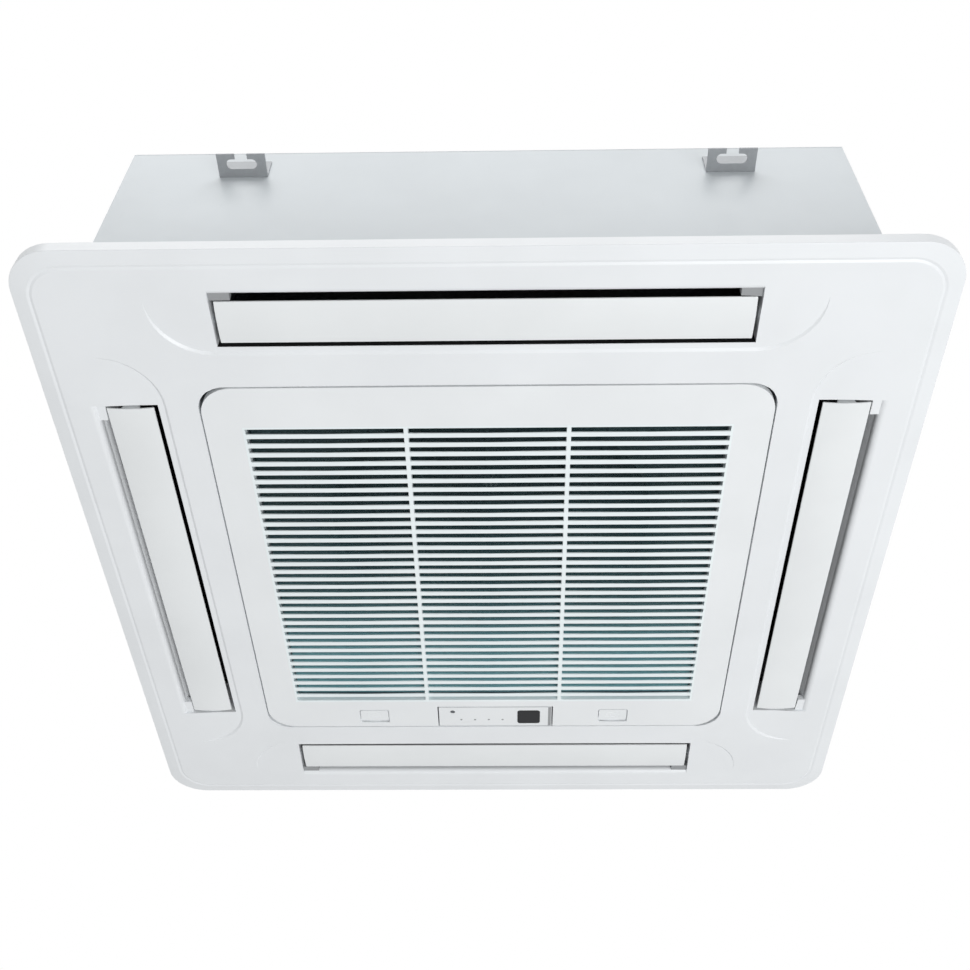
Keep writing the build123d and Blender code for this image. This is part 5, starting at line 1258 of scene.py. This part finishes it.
class CASSETTE_OT_controls(Maker, Operator):
    """Control box, its lid and screws, the terminal block and the board's small parts"""

    bl_idname = "cassette.controls"
    bl_label = "Controls"

    def execute(self, context):
        dress("control_box", SMALL_EDGE)
        dress("control_lid", PART_EDGE)
        dress("terminal_block", SMALL_EDGE)
        dress("control_board", THIN_EDGE, add=self.parts)
        self.screws()
        return {"FINISHED"}

    def parts(self, bm):
        """Small parts on the board's under side."""
        low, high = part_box("control_board")
        x, y, z = Vector((low.x, low.y, high.z)) + Vector(BOARD_START)
        spots = [(x + number * BOARD_PITCH, y, z) for number in range(BOARD_PARTS)]
        board_parts(bm, spots, BOARD_PART, 3, SMALL_EDGE)

    def screws(self):
        """Screws of the lid."""
        low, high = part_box("control_lid")
        in_x, in_y = LID_SCREWS_IN
        bm = bmesh.new()
        for x in (low.x + in_x, 0, high.x - in_x):
            for y in (low.y + in_y, high.y - in_y):
                head = self.sizes.screw_head * LID_SCREW
                cross_screw(bm, (x, y, low.z), (0, 0, -1), head, x * 30)
        place_piece(bm, "lid_screws", "bright_steel", "unit")


class CASSETTE_OT_drain(Maker, Operator):
    """Drain pump, float switch and their bracket"""

    bl_idname = "cassette.drain"
    bl_label = "Drain pump"

    def execute(self, context):
        dress("drain_pump", THICK_EDGE)
        dress("float_switch", PART_EDGE)
        dress("pump_bracket", SMALL_EDGE)
        return {"FINISHED"}


class CASSETTE_OT_room(Maker, Operator):
    """Pale floor, soft lamps, white surroundings and the camera"""

    bl_idname = "cassette.room"
    bl_label = "Room"

    def execute(self, context):
        room = context.scene.cassette_room
        self.floor(room.floor)
        self.surroundings(context.scene, room.world)
        self.lamp("front_lamp", room.key, KEY_SIZE, KEY_PLACE, (0, 0, 0))
        for name, side in (("near_top_lamp", 1), ("far_top_lamp", -1)):
            over = Matrix.Diagonal((side, side, 1))
            place, target = over @ Vector(TOP_PLACE), over @ Vector(TOP_TARGET)
            self.lamp(name, room.fill, TOP_SIZE, place, target)
        self.camera(context.scene, room)
        context.scene.view_settings.view_transform = "Standard"
        return {"FINISHED"}

    def floor(self, level):
        """A pale floor far below that glows where it is seen or mirrored."""
        bm = bmesh.new()
        bmesh.ops.create_grid(
            bm, x_segments=FLOOR_CELLS, y_segments=FLOOR_CELLS, size=FLOOR_REACH,
            matrix=Matrix.Translation((0, 0, level)),
        )
        mesh = bpy.data.meshes.new("floor")
        bm.to_mesh(mesh)
        bm.free()
        f = Finish("floor_paint")
        f.set(
            Base_Color=f.mix(f.noise(0.5, 3.0), (0.86, 0.86, 0.86), (0.90, 0.90, 0.90)),
            Roughness=f.noise(0.08, 3.0) * 0.1 + 0.7,
        )
        seen = f.seen_by("Camera", "Glossy")
        glow = f.node("ShaderNodeEmission", {}, {"Color": WHITE, "Strength": 1.0})
        both = {0: seen * FLOOR_GLOW, 1: f.shader, 2: glow.outputs[0]}
        pale = f.node("ShaderNodeMixShader", {}, both)
        f.links.new(pale.outputs[0], f.output.inputs["Surface"])
        mesh.materials.append(f.material)
        floor = bpy.data.objects.new("floor", mesh)
        bpy.context.collection.objects.link(floor)

    def surroundings(self, scene, strength):
        """White all round, at full strength only where it is seen or mirrored."""
        world = bpy.data.worlds.new("surroundings")
        scene.world = world
        tree = Tree(world)
        seen = tree.seen_by("Camera", "Glossy", "Transmission")
        level = tree.node("ShaderNodeMix", {"data_type": "FLOAT"}, {0: seen, 2: strength, 3: 1.0})
        light = {"Color": WHITE, "Strength": level.outputs[0]}
        sky = tree.node("ShaderNodeBackground", {}, light)
        tree.node("ShaderNodeOutputWorld", {}, {"Surface": sky.outputs[0]})

    def lamp(self, name, power, size, place, target):
        """A large lamp that looks at target."""
        light = bpy.data.lights.new(name, "AREA")
        light.energy = power
        light.shape = "RECTANGLE"
        light.size, light.size_y = size
        lamp = bpy.data.objects.new(name, light)
        bpy.context.collection.objects.link(lamp)
        look = (Vector(target) - Vector(place)).to_track_quat("-Z", "Y")
        lamp.matrix_world = Matrix.Translation(place) @ look.to_matrix().to_4x4()

    def camera(self, scene, room):
        """The camera, turned by its yaw, its pitch and its roll."""
        lens = bpy.data.cameras.new("camera")
        lens.lens = room.lens
        lens.sensor_width = SENSOR
        lens.shift_y = room.shift
        camera = bpy.data.objects.new("camera", lens)
        bpy.context.collection.objects.link(camera)
        level_ahead = Vector((sin(room.yaw), cos(room.yaw), 0))
        level_right = Vector((cos(room.yaw), -sin(room.yaw), 0))
        ahead = level_ahead * cos(room.pitch) + Vector(UP) * sin(room.pitch)
        level_up = level_right.cross(ahead)
        right = level_right * cos(room.roll) + level_up * sin(room.roll)
        up = level_up * cos(room.roll) - level_right * sin(room.roll)
        place = Matrix((right, up, -ahead)).transposed().to_4x4()
        place.translation = room.place
        camera.matrix_world = place
        scene.camera = camera


STEPS = (
    CASSETTE_OT_finishes,
    CASSETTE_OT_panel,
    CASSETTE_OT_grille,
    CASSETTE_OT_louvres,
    CASSETTE_OT_latches,
    CASSETTE_OT_strip,
    CASSETTE_OT_filter,
    CASSETTE_OT_casing,
    CASSETTE_OT_hangers,
    CASSETTE_OT_inside,
    CASSETTE_OT_coil,
    CASSETTE_OT_fan,
    CASSETTE_OT_services,
    CASSETTE_OT_controls,
    CASSETTE_OT_drain,
    CASSETTE_OT_room,
)
GROUPS = (
    ("cassette_colours", CassetteColours),
    ("cassette_sizes", CassetteSizes),
    ("cassette_room", CassetteRoom),
)


class CASSETTE_PT_sidebar(Panel):
    """Lists every step and setting in the sidebar"""

    bl_label = "Ceiling Cassette"
    bl_idname = "CASSETTE_PT_sidebar"
    bl_space_type = "VIEW_3D"
    bl_region_type = "UI"
    bl_category = "Cassette"

    def draw(self, context):
        for step in STEPS:
            self.layout.operator(step.bl_idname)
        for name, group in GROUPS:
            box = self.layout.box()
            for key in group.__annotations__:
                box.prop(getattr(context.scene, name), key)


def register():
    """Adds the settings, the steps and the sidebar."""
    for name, group in GROUPS:
        bpy.utils.register_class(group)
        setattr(bpy.types.Scene, name, PointerProperty(type=group))
    for step in STEPS:
        bpy.utils.register_class(step)
    bpy.utils.register_class(CASSETTE_PT_sidebar)


def unregister():
    """Takes them away again."""
    bpy.utils.unregister_class(CASSETTE_PT_sidebar)
    for step in reversed(STEPS):
        bpy.utils.unregister_class(step)
    for name, group in reversed(GROUPS):
        delattr(bpy.types.Scene, name)
        bpy.utils.unregister_class(group)


def main():
    """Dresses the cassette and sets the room."""
    register()
    for step in STEPS:
        family, name = step.bl_idname.split(".")
        getattr(getattr(bpy.ops, family), name)()


if __name__ == "__main__":
    main()
